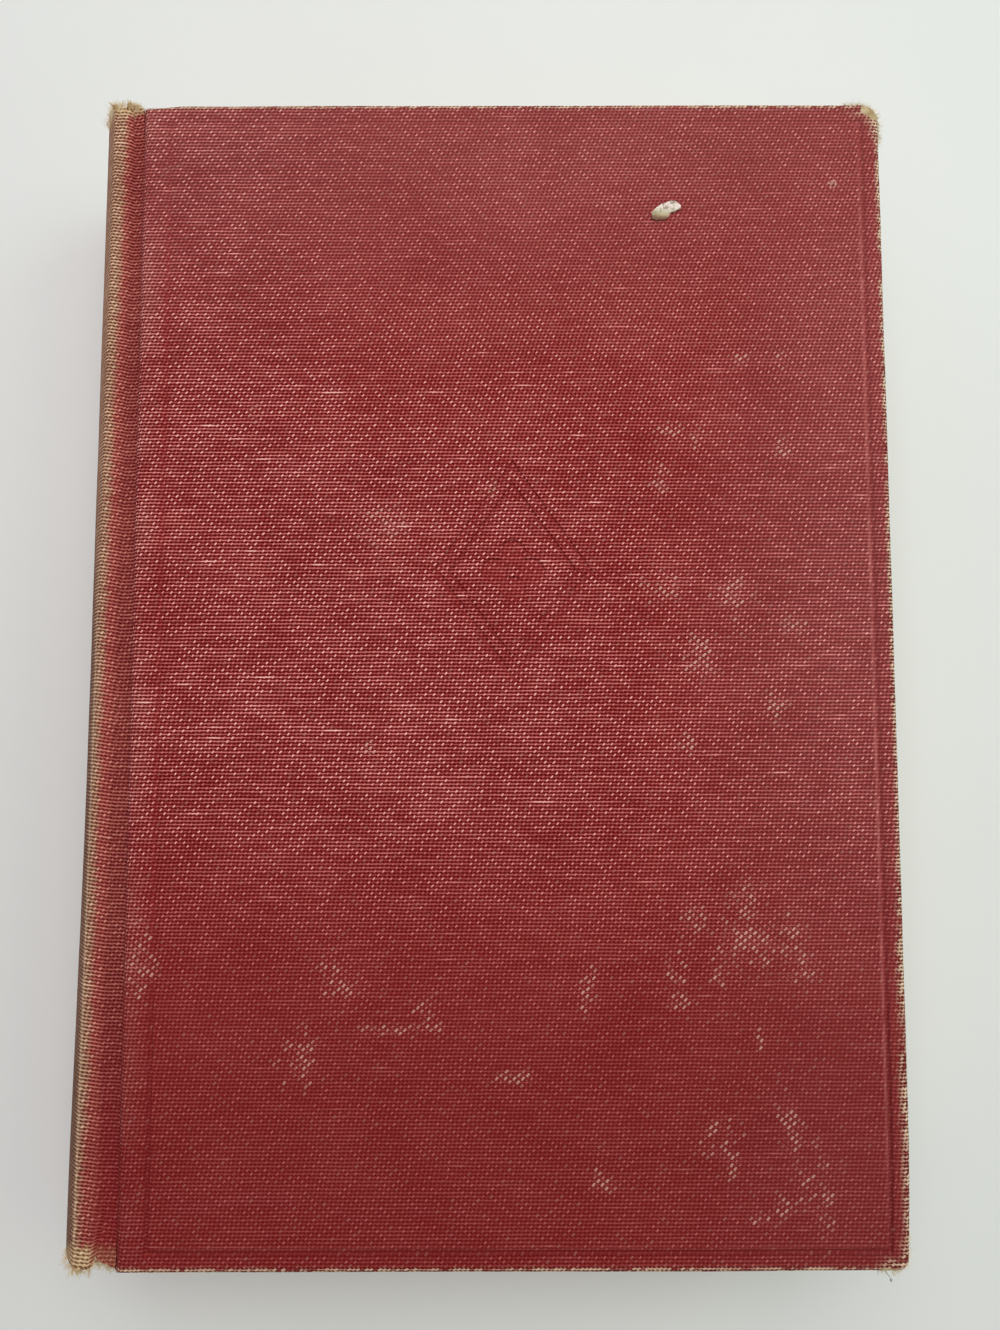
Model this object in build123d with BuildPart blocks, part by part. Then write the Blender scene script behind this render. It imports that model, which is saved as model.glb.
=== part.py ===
import math
import os

from build123d import *

os.makedirs("parts", exist_ok=True)

# Hardback book lying on its back cover. Spine towards -X, head towards +Y, front cover up.
# The origin is the middle of the underside.

# Case
cover_length = 195.0            # head to tail
cover_width = 128.7             # joint line to fore-edge
board_thickness = 2.6
cloth_thickness = 0.45
turn_in = 15.0                  # cloth folded over the inside of the boards and the spine's ends
edge_round = 0.4                # fold of the cloth over the board's edges
head_corner = 3.0               # worn fore-edge corner at the head
tail_corner = 1.8               # fore-edge corner at the tail
tail_dent = 0.75                # fore-edge bumped in at the tail
tail_dent_reach = 26.0

# Joint: the pressed groove between board and shoulder. The spine sits askew to the boards.
groove_depth = 1.9
groove_floor = 0.3              # joint line to the foot of the board's wall
groove_slope = 0.9              # run of that wall
floor_round = 0.4
lip_round = 0.8
groove_head = 0.75              # joint line to the edge of the shoulder
groove_tail = 2.05
shoulder_rise = 0.6             # run of the slope up to the shoulder

# Rounded spine
shoulder_drop = 1.25            # shoulder below the outer face of the board
shoulder_width = 3.4            # edge of the groove to the ridge
spine_bulge = 5.5               # ridge to the middle of the spine
spine_short = 0.1               # at each end, against the boards
ridge_round = 1.2
inlay_thickness = 0.6
hollow_back = 0.25              # air between the case and the lined back of the pages

# Pages and endpapers
page_stack = 27.0
square = 3.2                    # covers stand past the pages by this much
fore_edge_hollow = 3.6
shoulder_gap = 0.2
endpaper_thickness = 0.18
pastedown_margin = 3.5          # turn-in left in sight round the pastedown
page_clearance = 0.1

# Back lining and bands
mull_thickness = 0.3
lining_thickness = 0.25
band_tape = 7.0                 # tape of the bands, glued down the back
band_bead = 0.9                 # radius of the visible bead
fit_gap = 0.03                  # between pieces laid against each other

# Blind stamping on the front cover
rule_inset = 3.2                # edge to the middle of the rule
rule_joint_inset = 6.0          # joint line to the middle of the rule
rule_width = 0.9
rule_depth = 0.22
device_width = 27.0             # outer lozenge
device_height = 38.0
device_raise = 15.5             # middle of the device above the middle of the cover
device_line = 1.0
inner_step = 2.6                # outer lozenge to the thin one inside it
inner_line = 0.6
petal_radius = 2.3              # four petals in the middle
petal_reach = 3.1
device_depth = 0.15

# Tear at the tail of the front shoulder
tear_width = 3.2
tear_height = 1.5

# Levels and positions that follow from the sizes above
cover_thickness = board_thickness + 2 * cloth_thickness
book_height = page_stack + 2 * (cover_thickness + 2 * endpaper_thickness + page_clearance)
middle_z = book_height / 2
half_length = cover_length / 2
groove_middle = (groove_head + groove_tail) / 2
spine_reach = groove_middle + (groove_tail - groove_head) / 2 + shoulder_width + spine_bulge
fore_edge_x = (cover_width + spine_reach) / 2
joint_x = fore_edge_x - cover_width
groove_top_x = joint_x + groove_floor + groove_slope
board_x = groove_top_x + cloth_thickness
board_fore_x = fore_edge_x - cloth_thickness
board_half = half_length - cloth_thickness
board_outer_z = book_height - cloth_thickness
board_inner_z = board_outer_z - board_thickness
inside_z = book_height - cover_thickness
page_top_z = middle_z + page_stack / 2
page_half = half_length - square
page_fore_x = fore_edge_x - square
page_x = joint_x + groove_floor
leaf_x = joint_x + groove_tail - groove_floor + fit_gap
case_back = 2 * cloth_thickness + inlay_thickness + 2 * fit_gap
page_back = case_back + hollow_back + lining_thickness + mull_thickness + 2 * fit_gap
shoulder_half = middle_z - shoulder_drop
spine_radius = (shoulder_half ** 2 + spine_bulge ** 2) / (2 * spine_bulge)
spine_centre = spine_radius - spine_bulge - groove_middle - shoulder_width
spine_half = half_length - spine_short
spine_lean = math.degrees(math.atan2(groove_tail - groove_head, cover_length))
spine_place = Location((joint_x, 0, middle_z), (0, 0, -spine_lean))
middle_plane = Plane.XY.offset(middle_z)


# The spine's sections are drawn about the joint line at half height, then set down askew.
def arc_x(radius, height):
    return spine_centre - math.sqrt(radius ** 2 - height ** 2)


def spine_body(inset, reach):
    # Everything inside the spine's cloth, set in from its outer face
    shoulder_z = shoulder_half - inset
    groove_z = middle_z - groove_depth - inset
    ridge = arc_x(spine_radius - inset, shoulder_z)
    with BuildPart() as body:
        with BuildSketch(Plane.XZ):
            with BuildLine():
                ThreePointArc((ridge, -shoulder_z), (spine_centre - spine_radius + inset, 0), (ridge, shoulder_z))
                Polyline(
                    (ridge, shoulder_z),
                    (-groove_middle, shoulder_z),
                    (shoulder_rise - groove_middle, groove_z),
                    (groove_middle, groove_z),
                    (groove_middle, -groove_z),
                    (shoulder_rise - groove_middle, -groove_z),
                    (-groove_middle, -shoulder_z),
                    (ridge, -shoulder_z),
                )
            make_face()
            fillet(vertices().group_by(Axis.X)[0], radius=ridge_round - inset)
        extrude(amount=reach, both=True)
    return body.part


def spine_band(outer, inner, low_y, high_y, trim=0.0):
    # A curved sheet that follows the spine between its ridges
    edge_z = shoulder_half - ridge_round - trim
    outer_x = arc_x(spine_radius - outer, edge_z)
    inner_x = arc_x(spine_radius - inner, edge_z)
    with BuildPart() as band:
        with BuildSketch(Plane.XZ.offset(-high_y)):
            with BuildLine():
                ThreePointArc((outer_x, -edge_z), (spine_centre - spine_radius + outer, 0), (outer_x, edge_z))
                Line((outer_x, edge_z), (inner_x, edge_z))
                ThreePointArc((inner_x, edge_z), (spine_centre - spine_radius + inner, 0), (inner_x, -edge_z))
                Line((inner_x, -edge_z), (outer_x, -edge_z))
            make_face()
        extrude(amount=high_y - low_y)
    return band.part


# Front board
with BuildPart() as front_board:
    with BuildSketch(Plane.XY.offset(board_inner_z)):
        with BuildLine():
            dent_start = (board_fore_x, tail_dent_reach - half_length)
            dent_end = (board_fore_x - tail_dent, -board_half)
            TangentArc(dent_start, dent_end, tangent=(0, -1))
            Polyline(dent_end, (board_x, -board_half), (board_x, board_half), (board_fore_x, board_half), dent_start)
        make_face()
        fillet(vertices().group_by(Axis.Y)[-1].sort_by(Axis.X)[-1], radius=head_corner - cloth_thickness)
        fillet(vertices().group_by(Axis.Y)[0].sort_by(Axis.X)[-1], radius=tail_corner - cloth_thickness)
    extrude(amount=board_thickness)
front_board.part.label = "front_board"
export_step(front_board.part, "parts/front_board.step")


# Cloth over one board: its section from the joint line to the fore-edge, run from head to tail
with BuildPart() as plain_cloth:
    with BuildSketch(Plane.XZ):
        with BuildLine():
            Polyline(
                (joint_x, book_height - groove_depth),
                (joint_x + groove_floor, book_height - groove_depth),
                (groove_top_x, book_height),
                (fore_edge_x, book_height),
                (fore_edge_x, inside_z),
                (board_x, inside_z),
                (board_x, board_outer_z),
                (joint_x + groove_floor + cloth_thickness / 2, book_height - groove_depth - cloth_thickness),
                (joint_x, book_height - groove_depth - cloth_thickness),
                close=True,
            )
        make_face()
        groove_corners = vertices().filter_by_position(
            Axis.X, joint_x + groove_floor, groove_top_x, inclusive=(True, True)
        ).sort_by(Axis.Z)
        fillet(groove_corners[-1], radius=lip_round)
        fillet(groove_corners[-2], radius=floor_round)
    extrude(amount=half_length, both=True)
    with BuildSketch(middle_plane):
        with BuildLine():
            dent_start = (fore_edge_x, tail_dent_reach - half_length)
            dent_end = (fore_edge_x - tail_dent, -half_length)
            TangentArc(dent_start, dent_end, tangent=(0, -1))
            Polyline(dent_end, (fore_edge_x, -half_length), dent_start)
        make_face()
    extrude(amount=book_height - middle_z, mode=Mode.SUBTRACT)
    upright = edges().filter_by(Axis.Z)
    fillet(upright.group_by(Axis.Y)[-1].sort_by(Axis.X)[-1], radius=head_corner)
    upright = edges().filter_by(Axis.Z)
    fillet(upright.group_by(Axis.Y)[0].sort_by(Axis.X)[-1], radius=tail_corner)
    rim = faces().filter_by(Axis.Z).sort_by(Axis.Z)[-1].edges()
    fillet(rim.filter_by(Axis.Y, reverse=True) + rim.filter_by(Axis.Y).sort_by(Axis.X)[-1:], radius=edge_round)
    add(front_board.part, mode=Mode.SUBTRACT)
    with BuildSketch(Plane.XY.offset(inside_z)):
        with Locations(((board_x + fore_edge_x - turn_in) / 2, 0)):
            Rectangle(fore_edge_x - turn_in - board_x, cover_length - 2 * turn_in)
    extrude(amount=cloth_thickness, mode=Mode.SUBTRACT)


# Front cloth, with the blind rule and lozenge pressed in
with BuildPart() as front_cloth:
    add(plain_cloth.part)
    rule_start = joint_x + rule_joint_inset
    rule_end = fore_edge_x - rule_inset
    rule_length = cover_length - 2 * rule_inset
    with BuildSketch(Plane.XY.offset(book_height)):
        with Locations(((rule_start + rule_end) / 2, 0)):
            Rectangle(rule_end - rule_start + rule_width, rule_length + rule_width)
            Rectangle(rule_end - rule_start - rule_width, rule_length - rule_width, mode=Mode.SUBTRACT)
    extrude(amount=-rule_depth, mode=Mode.SUBTRACT)
    device_slope = device_height / device_width
    with BuildSketch(Plane.XY.offset(book_height)):
        with Locations(((groove_top_x + fore_edge_x) / 2, device_raise)):
            for outer, line in ((device_width / 2, device_line), (device_width / 2 - inner_step, inner_line)):
                for across, side in ((outer, Mode.ADD), (outer - line, Mode.SUBTRACT)):
                    along = across * device_slope
                    Polygon((across, 0), (0, along), (-across, 0), (0, -along), mode=side)
            with PolarLocations(petal_reach, 4):
                Circle(petal_radius)
    extrude(amount=-device_depth, mode=Mode.SUBTRACT)
front_cloth.part.label = "front_cloth"
export_step(front_cloth.part, "parts/front_cloth.step")


# Front pastedown: lies on the board between the turn-ins and steps over them
with BuildPart() as front_pastedown:
    with BuildSketch(Plane.XY.offset(inside_z - endpaper_thickness)):
        with Locations(((board_x + fore_edge_x - pastedown_margin) / 2, 0)):
            Rectangle(fore_edge_x - pastedown_margin - board_x, cover_length - 2 * pastedown_margin)
    extrude(amount=endpaper_thickness)
    with BuildSketch(Plane.XY.offset(inside_z - endpaper_thickness)):
        with Locations(((board_x + fore_edge_x - turn_in) / 2, 0)):
            Rectangle(fore_edge_x - turn_in - board_x - 2 * fit_gap, cover_length - 2 * turn_in - 2 * fit_gap)
    extrude(amount=endpaper_thickness + cloth_thickness)
    with BuildSketch(Plane.XY.offset(inside_z - endpaper_thickness)):
        with Locations(((board_x + fore_edge_x - turn_in - endpaper_thickness) / 2, 0)):
            Rectangle(
                fore_edge_x - turn_in - board_x - endpaper_thickness - 2 * fit_gap,
                cover_length - 2 * turn_in - 2 * endpaper_thickness - 2 * fit_gap,
            )
    extrude(amount=cloth_thickness, mode=Mode.SUBTRACT)
front_pastedown.part.label = "front_pastedown"
export_step(front_pastedown.part, "parts/front_pastedown.step")


# Back cover: the same three pieces turned over, without the stamping
with BuildPart() as back_board:
    add(mirror(front_board.part, about=middle_plane, mode=Mode.PRIVATE))
back_board.part.label = "back_board"
export_step(back_board.part, "parts/back_board.step")

with BuildPart() as back_cloth:
    add(mirror(plain_cloth.part, about=middle_plane, mode=Mode.PRIVATE))
back_cloth.part.label = "back_cloth"
export_step(back_cloth.part, "parts/back_cloth.step")

with BuildPart() as back_pastedown:
    add(mirror(front_pastedown.part, about=middle_plane, mode=Mode.PRIVATE))
back_pastedown.part.label = "back_pastedown"
export_step(back_pastedown.part, "parts/back_pastedown.step")


# Spine inlay: curved card between the spine's cloth and its turn-ins
with BuildPart() as spine_inlay:
    inlay_outer = cloth_thickness + fit_gap
    inlay_half = spine_half - cloth_thickness - fit_gap
    with Locations(spine_place):
        add(spine_band(inlay_outer, inlay_outer + inlay_thickness, -inlay_half, inlay_half, fit_gap))
spine_inlay.part.label = "spine_inlay"
export_step(spine_inlay.part, "parts/spine_inlay.step")


# Spine cloth: shell from joint to joint, folded in round the inlay at head and tail
with BuildPart() as spine_cloth:
    flap_outer = case_back - cloth_thickness
    fold_half = spine_half - cloth_thickness
    flap_half = spine_half - turn_in
    with Locations(spine_place):
        add(spine_body(0, spine_half))
        add(spine_body(cloth_thickness, spine_half), mode=Mode.SUBTRACT)
        add(spine_band(cloth_thickness / 2, case_back, fold_half, spine_half))
        add(spine_band(cloth_thickness / 2, case_back, -spine_half, -fold_half))
        add(spine_band(flap_outer, case_back, flap_half, spine_half))
        add(spine_band(flap_outer, case_back, -spine_half, -flap_half))
    with Locations((joint_x, 0, middle_z)):
        Box(
            2 * spine_reach,
            cover_length,
            book_height,
            align=(Align.MAX, Align.CENTER, Align.CENTER),
            mode=Mode.INTERSECT,
        )
    with BuildSketch(middle_plane):
        with BuildLine():
            Polyline(
                (joint_x, -half_length),
                (joint_x - tear_width * 0.2, tear_height * 0.5 - half_length),
                (joint_x - tear_width * 0.7, tear_height - half_length),
                (joint_x - tear_width, -half_length),
                close=True,
            )
        make_face()
    extrude(amount=book_height - middle_z, mode=Mode.SUBTRACT)
spine_cloth.part.label = "spine_cloth"
export_step(spine_cloth.part, "parts/spine_cloth.step")


# Back of the pages: rounded, with a shoulder under each joint
with BuildPart() as page_backs:
    half_pages = page_stack / 2
    back_half = shoulder_half - cloth_thickness - shoulder_gap
    back_ridge = arc_x(spine_radius - page_back, back_half)
    back_edge = -groove_middle - shoulder_gap
    back_foot = groove_middle - groove_floor
    with BuildSketch(Plane.XZ):
        with BuildLine():
            ThreePointArc(
                (back_ridge, -back_half),
                (spine_centre - spine_radius + page_back, 0),
                (back_ridge, back_half),
            )
            Polyline(
                (back_ridge, back_half),
                (back_edge, back_half),
                (back_foot, half_pages),
                (back_foot, -half_pages),
                (back_edge, -back_half),
                (back_ridge, -back_half),
            )
        make_face()
    extrude(amount=page_half, both=True)


# Text block: square pages with a hollow fore-edge, joined to their backs
with BuildPart() as text_block:
    with BuildSketch(Plane.XZ):
        with BuildLine():
            Polyline(
                (page_fore_x, page_top_z),
                (page_x, page_top_z),
                (page_x, page_top_z - page_stack),
                (page_fore_x, page_top_z - page_stack),
            )
            ThreePointArc(
                (page_fore_x, page_top_z - page_stack),
                (page_fore_x - fore_edge_hollow, middle_z),
                (page_fore_x, page_top_z),
            )
        make_face()
    extrude(amount=page_half, both=True)
    with Locations(spine_place):
        add(page_backs.part)
text_block.part.label = "text_block"
export_step(text_block.part, "parts/text_block.step")


# Free endpapers on the first and last page
with BuildPart() as front_flyleaf:
    with BuildSketch(Plane.XY.offset(page_top_z)):
        with Locations(((leaf_x + page_fore_x) / 2, 0)):
            Rectangle(page_fore_x - leaf_x, 2 * page_half)
    extrude(amount=endpaper_thickness)
front_flyleaf.part.label = "front_flyleaf"
export_step(front_flyleaf.part, "parts/front_flyleaf.step")

with BuildPart() as back_flyleaf:
    add(mirror(front_flyleaf.part, about=middle_plane, mode=Mode.PRIVATE))
back_flyleaf.part.label = "back_flyleaf"
export_step(back_flyleaf.part, "parts/back_flyleaf.step")


# Mull on the back of the pages, between the tapes of the bands
with BuildPart() as mull:
    mull_inner = page_back - fit_gap
    mull_outer = mull_inner - mull_thickness
    mull_half = page_half - band_tape - fit_gap
    with Locations(spine_place):
        add(spine_band(mull_outer, mull_inner, -mull_half, mull_half))
mull.part.label = "mull"
export_step(mull.part, "parts/mull.step")


# Lining paper over the mull and the tapes
with BuildPart() as spine_lining:
    lining_inner = mull_outer - fit_gap
    with Locations(spine_place):
        add(spine_band(lining_inner - lining_thickness, lining_inner, -page_half, page_half))
spine_lining.part.label = "spine_lining"
export_step(spine_lining.part, "parts/spine_lining.step")


# Bands: a bead along the pages' back edge, sewn to a tape that runs down under the lining
bead_y = page_half + band_bead + fit_gap
bead_path = spine_radius - mull_outer - band_bead
bead_end = shoulder_half - ridge_round - band_bead
bead_angle = math.degrees(math.asin(bead_end / bead_path))
with BuildPart() as plain_band:
    add(spine_band(mull_outer, mull_inner, page_half - band_tape, bead_y, band_bead))
    with BuildSketch(Plane.XY):
        with Locations((spine_centre - bead_path, bead_y)):
            RegularPolygon(band_bead, 8)
    revolve(axis=Axis((spine_centre, 0, 0), (0, 1, 0)), revolution_arc=bead_angle)
    mirror(about=Plane.XY)

with BuildPart() as head_band:
    with Locations(spine_place):
        add(plain_band.part)
head_band.part.label = "head_band"
export_step(head_band.part, "parts/head_band.step")

with BuildPart() as tail_band:
    with Locations(spine_place):
        add(plain_band.part, rotation=(180, 0, 0))
tail_band.part.label = "tail_band"
export_step(tail_band.part, "parts/tail_band.step")
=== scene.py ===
import math
import random

import bpy
from mathutils import Matrix, Vector, noise


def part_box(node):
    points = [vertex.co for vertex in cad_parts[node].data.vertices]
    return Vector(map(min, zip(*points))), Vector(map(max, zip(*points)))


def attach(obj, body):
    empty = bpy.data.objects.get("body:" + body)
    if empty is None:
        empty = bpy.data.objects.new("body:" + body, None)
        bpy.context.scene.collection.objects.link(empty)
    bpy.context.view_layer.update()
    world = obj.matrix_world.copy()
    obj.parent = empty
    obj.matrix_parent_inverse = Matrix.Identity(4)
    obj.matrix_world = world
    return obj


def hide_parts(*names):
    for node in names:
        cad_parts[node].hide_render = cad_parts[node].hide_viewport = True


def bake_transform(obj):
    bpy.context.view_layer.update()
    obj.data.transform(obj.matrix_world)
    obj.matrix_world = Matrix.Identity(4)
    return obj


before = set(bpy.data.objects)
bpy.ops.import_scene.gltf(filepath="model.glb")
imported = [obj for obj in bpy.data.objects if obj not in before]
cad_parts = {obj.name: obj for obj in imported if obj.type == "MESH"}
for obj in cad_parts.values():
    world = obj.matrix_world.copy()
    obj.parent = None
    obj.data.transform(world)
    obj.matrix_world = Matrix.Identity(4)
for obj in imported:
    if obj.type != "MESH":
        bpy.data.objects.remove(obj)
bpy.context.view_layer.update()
print("frame loaded")

mm = 0.001

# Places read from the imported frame
clothLow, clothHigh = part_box("front_cloth")
boardLow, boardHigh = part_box("front_board")
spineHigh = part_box("spine_cloth")[1]
pagesLow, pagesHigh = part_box("text_block")
leafLow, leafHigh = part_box("front_flyleaf")
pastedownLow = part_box("front_pastedown")[0]
jointX, foreX = clothLow.x, clothHigh.x
topZ, insideZ = clothHigh.z, clothLow.z
headY = clothHigh.y
midZ = topZ / 2
clothThick = clothHigh.z - boardHigh.z
lipX = boardLow.x - clothThick      # board's edge at the joint, cloth included
turnedOver = Matrix.Translation((0, 0, topZ)) @ Matrix.Scale(-1, 4, (0, 0, 1))


# Small helpers for modelling

def setMode(mode):
    bpy.ops.object.mode_set(mode=mode)


def selectMesh():
    bpy.ops.mesh.select_all(action="SELECT")


def dropSelection():
    bpy.ops.object.select_all(action="DESELECT")


def applyPlace():
    bpy.ops.object.transform_apply(location=True, rotation=True, scale=True)


def uvLayer(piece):
    return piece.data.uv_layers.get("UVMap") or piece.data.uv_layers.new(name="UVMap")


def addBox(name, low, high):
    dropSelection()
    bpy.ops.mesh.primitive_cube_add(size=1, location=(low + high) / 2)
    piece = bpy.context.active_object
    piece.name = name
    piece.scale = high - low
    applyPlace()
    return piece


def addGrid(name, columns, rows):
    dropSelection()
    bpy.ops.mesh.primitive_grid_add(x_subdivisions=columns, y_subdivisions=rows, size=1)
    piece = bpy.context.active_object
    piece.name = name
    return piece


def flatAt(points, level):
    return all(near(p.z, level) for p in points)


def pick(piece, kind, rule):
    # leaves the piece in edit mode with only what the rule wants selected
    setMode("EDIT")
    bpy.ops.mesh.select_mode(type={"vertices": "VERT", "edges": "EDGE", "polygons": "FACE"}[kind])
    bpy.ops.mesh.select_all(action="DESELECT")
    setMode("OBJECT")
    mesh = piece.data
    for item in getattr(mesh, kind):
        points = [item.co] if kind == "vertices" else [mesh.vertices[i].co for i in item.vertices]
        item.select = rule(points)
    setMode("EDIT")


def near(value, target, slack=0.02 * mm):
    return abs(value - target) < slack


def slide(x=0.0, y=0.0, z=0.0):
    bpy.ops.transform.translate(value=(x, y, z))


def cutAcross(piece, point, normal):
    setMode("EDIT")
    selectMesh()
    bpy.ops.mesh.bisect(plane_co=point, plane_no=normal)
    setMode("OBJECT")


def useModifier(piece, kind, **settings):
    bpy.context.view_layer.objects.active = piece
    modifier = piece.modifiers.new(kind.title(), kind)
    for key, value in settings.items():
        setattr(modifier, key, value)
    bpy.ops.object.modifier_apply(modifier=modifier.name)


def cleanUp(piece, smoothAngle=40):
    setMode("OBJECT")
    dropSelection()
    piece.select_set(True)
    bpy.context.view_layer.objects.active = piece
    setMode("EDIT")
    selectMesh()
    bpy.ops.mesh.remove_doubles(threshold=0.002 * mm)
    bpy.ops.mesh.normals_make_consistent(inside=False)
    setMode("OBJECT")
    bpy.ops.object.shade_smooth_by_angle(angle=math.radians(smoothAngle))


def smoothStep(value, start, end):
    t = min(max((value - start) / (end - start), 0.0), 1.0)
    return t * t * (3 - 2 * t)


def wave(place, size, seed=0.0):
    # slow wander between about -1 and 1 over distances of the given size
    return noise.noise(Vector((place.x / size + seed, place.y / size - seed, place.z / size)))


# Small helpers for materials

def tint(red, green, blue):
    # screen colour to the linear one that sockets take
    shares = (red / 255, green / 255, blue / 255)
    linear = [c / 12.92 if c <= 0.04045 else ((c + 0.055) / 1.055) ** 2.4 for c in shares]
    return (*linear, 1.0)


class Value:
    # a number that varies over a surface: arithmetic with it adds nodes

    def __init__(self, finish, socket):
        self.finish = finish
        self.socket = socket

    def __add__(self, other):
        return self.finish.math("ADD", self, other)

    def __sub__(self, other):
        return self.finish.math("SUBTRACT", self, other)

    def __rsub__(self, other):
        return self.finish.math("SUBTRACT", other, self)

    def __mul__(self, other):
        return self.finish.math("MULTIPLY", self, other)

    def __pow__(self, power):
        return self.finish.math("POWER", self, power)

    def __abs__(self):
        return self.finish.math("ABSOLUTE", self)

    __radd__ = __add__

    def step(self, start, end, low=0.0, high=1.0):
        made = self.finish.node("ShaderNodeMapRange", interpolation_type="SMOOTHSTEP")
        for socket, setting in zip(made.inputs, (self, start, end, low, high)):
            self.finish.wire(socket, setting)
        return Value(self.finish, made.outputs[0])


class Finish:
    # one material, with short calls that add a node and wire it

    def __init__(self, name):
        self.material = bpy.data.materials.new(name)
        self.material.use_nodes = True
        self.tree = self.material.node_tree
        self.surface = self.tree.nodes["Principled BSDF"]
        coords = self.node("ShaderNodeTexCoord").outputs
        self.place, self.threads = coords["Object"], coords["UV"]

    def wire(self, socket, value):
        value = value.socket if isinstance(value, Value) else value
        if isinstance(value, bpy.types.NodeSocket):
            self.tree.links.new(value, socket)
        else:
            socket.default_value = value

    def node(self, kind, **settings):
        made = self.tree.nodes.new(kind)
        for key, value in settings.items():
            setattr(made, key, value)
        return made

    def math(self, operation, a, b=0.0):
        made = self.node("ShaderNodeMath", operation=operation)
        self.wire(made.inputs[0], a)
        self.wire(made.inputs[1], b)
        return Value(self, made.outputs[0])

    def larger(self, a, b):
        return self.math("MAXIMUM", a, b)

    def smaller(self, a, b):
        return self.math("MINIMUM", a, b)

    def sine(self, value):
        return self.math("SINE", value)

    def floor(self, value):
        return self.math("FLOOR", value)

    def parts(self, vector):
        made = self.node("ShaderNodeSeparateXYZ")
        self.wire(made.inputs[0], vector)
        return [Value(self, socket) for socket in made.outputs]

    def vector(self, x=0.0, y=0.0, z=0.0):
        made = self.node("ShaderNodeCombineXYZ")
        for socket, value in zip(made.inputs, (x, y, z)):
            self.wire(socket, value)
        return made.outputs[0]

    def noise(self, vector, scale, detail=2.0, roughness=0.5, output="Fac"):
        made = self.node("ShaderNodeTexNoise")
        settings = {"Vector": vector, "Scale": scale, "Detail": detail, "Roughness": roughness}
        for key, value in settings.items():
            self.wire(made.inputs[key], value)
        return Value(self, made.outputs[output])

    def blend(self, share, first, second, way="MIX"):
        made = self.node("ShaderNodeMix", data_type="RGBA", blend_type=way)
        for socket, value in ((0, share), (6, first), (7, second)):
            self.wire(made.inputs[socket], value)
        return made.outputs[2]

    def ramp(self, value, *stops):
        made = self.node("ShaderNodeValToRGB")
        band = made.color_ramp.elements
        for position, colour in stops[2:]:
            band.new(position)
        for element, (position, colour) in zip(band, sorted(stops)):
            element.position = position
            element.color = colour
        self.wire(made.inputs[0], value)
        return made.outputs[0]

    def bump(self, height, distance, strength=1.0):
        made = self.node("ShaderNodeBump")
        settings = {"Strength": strength, "Distance": distance, "Height": height}
        for key, value in settings.items():
            self.wire(made.inputs[key], value)
        self.wire(self.surface.inputs["Normal"], made.outputs[0])

    def colour(self, value):
        self.wire(self.surface.inputs["Base Color"], value)

    def set(self, **values):
        for key, value in values.items():
            self.surface.inputs[key.replace("_", " ")].default_value = value


# Book cloth: coarse plain weave

weave = {
    "warpPitch": 0.70 * mm,
    "weftPitch": 0.592 * mm,
    "lean": 0.16,               # warp threads lean towards the fore-edge at the head
    "leanMore": 1.65,           # and lean more between these two heights
    "leanFrom": 5 * mm,
    "leanTo": 65 * mm,
    "slant": 0.35,              # tilt of a knuckle within its row
    "wander": 4.5 * mm,
    "depth": 0.14 * mm,
    "middle": 0.40,             # level that stays put where the weave is soiled and flat
    # gap and crown: painted shade between the threads and a painted highlight on the knuckles, which wear has
    # also paled
    "shadedGap": tint(86, 3, 5),
    "thread": tint(143, 37, 37),
    "rise": tint(176, 86, 85),
    "litCrown": tint(232, 138, 134),
    "shine": tint(252, 196, 188),
    "rubbed": tint(240, 184, 170),  # threads rubbed pale
    "bare": tint(236, 206, 176),    # threads worn bare at the edges
    "board": tint(206, 186, 150),   # seen through the worn corners
    # dust with a painted sheen
    "dustAndSheen": tint(198, 178, 174),
    "pulledThread": (61.5 * mm, 82.9 * mm),
}

scuffs = [      # rubbed spots on the front: x, y, half width and half height in mm
    (44.6, -39.5, 2.0, 2.8), (45.2, -45.8, 4.0, 3.4), (51.6, -44.2, 1.8, 2.6), (52.7, -49.5, 2.2, 2.4),
    (35.2, -42.2, 1.4, 2.4), (33.1, -54.7, 1.8, 1.8), (32.8, -50.4, 1.4, 2.4), (39.8, -50.0, 1.2, 2.6),
    (45.9, -61.3, 0.6, 1.8), (50.5, -75.0, 1.4, 3.6), (54.6, -79.8, 1.6, 1.8), (53.1, -84.8, 1.7, 1.9),
    (39.0, -76.8, 2.4, 2.3), (40.8, -80.6, 1.1, 2.4), (56.1, -87.8, 1.5, 3.2), (49.0, -87.3, 1.1, 1.5),
    (46.1, -89.4, 1.7, 1.1), (32.3, 39.4, 2.2, 1.0), (44.7, 52.1, 1.1, 1.0), (51.9, 51.9, 1.3, 1.1),
    (37.1, 37.6, 0.7, 1.8), (30.9, 31.6, 1.1, 2.9), (52.0, 35.7, 1.6, 1.7), (30.8, 13.1, 2.4, 2.3),
    (43.0, 11.8, 2.6, 2.2), (43.4, 6.6, 1.1, 1.3), (37.3, 0.6, 2.0, 3.2), (53.2, 5.9, 1.4, 1.4),
    (49.4, -7.0, 1.7, 1.7), (35.2, -13.3, 1.1, 1.4), (-37.3, 42.7, 1.1, 1.0), (2.8, 30.1, 1.3, 1.4),
    (-15.7, 23.4, 2.8, 2.8), (-18.3, -14.0, 1.1, 0.9), (-55.2, -49.6, 2.4, 4.9), (-12.1, -59.5, 6.0, 0.7),
    (-8.3, -55.8, 1.4, 1.5), (-22.8, -52.5, 2.1, 3.4), (-28.8, -64.0, 2.4, 3.2), (18.0, -53.3, 1.0, 2.9),
    (6.1, -67.2, 3.2, 0.8), (19.9, -83.5, 1.3, 2.0),
]


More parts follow.
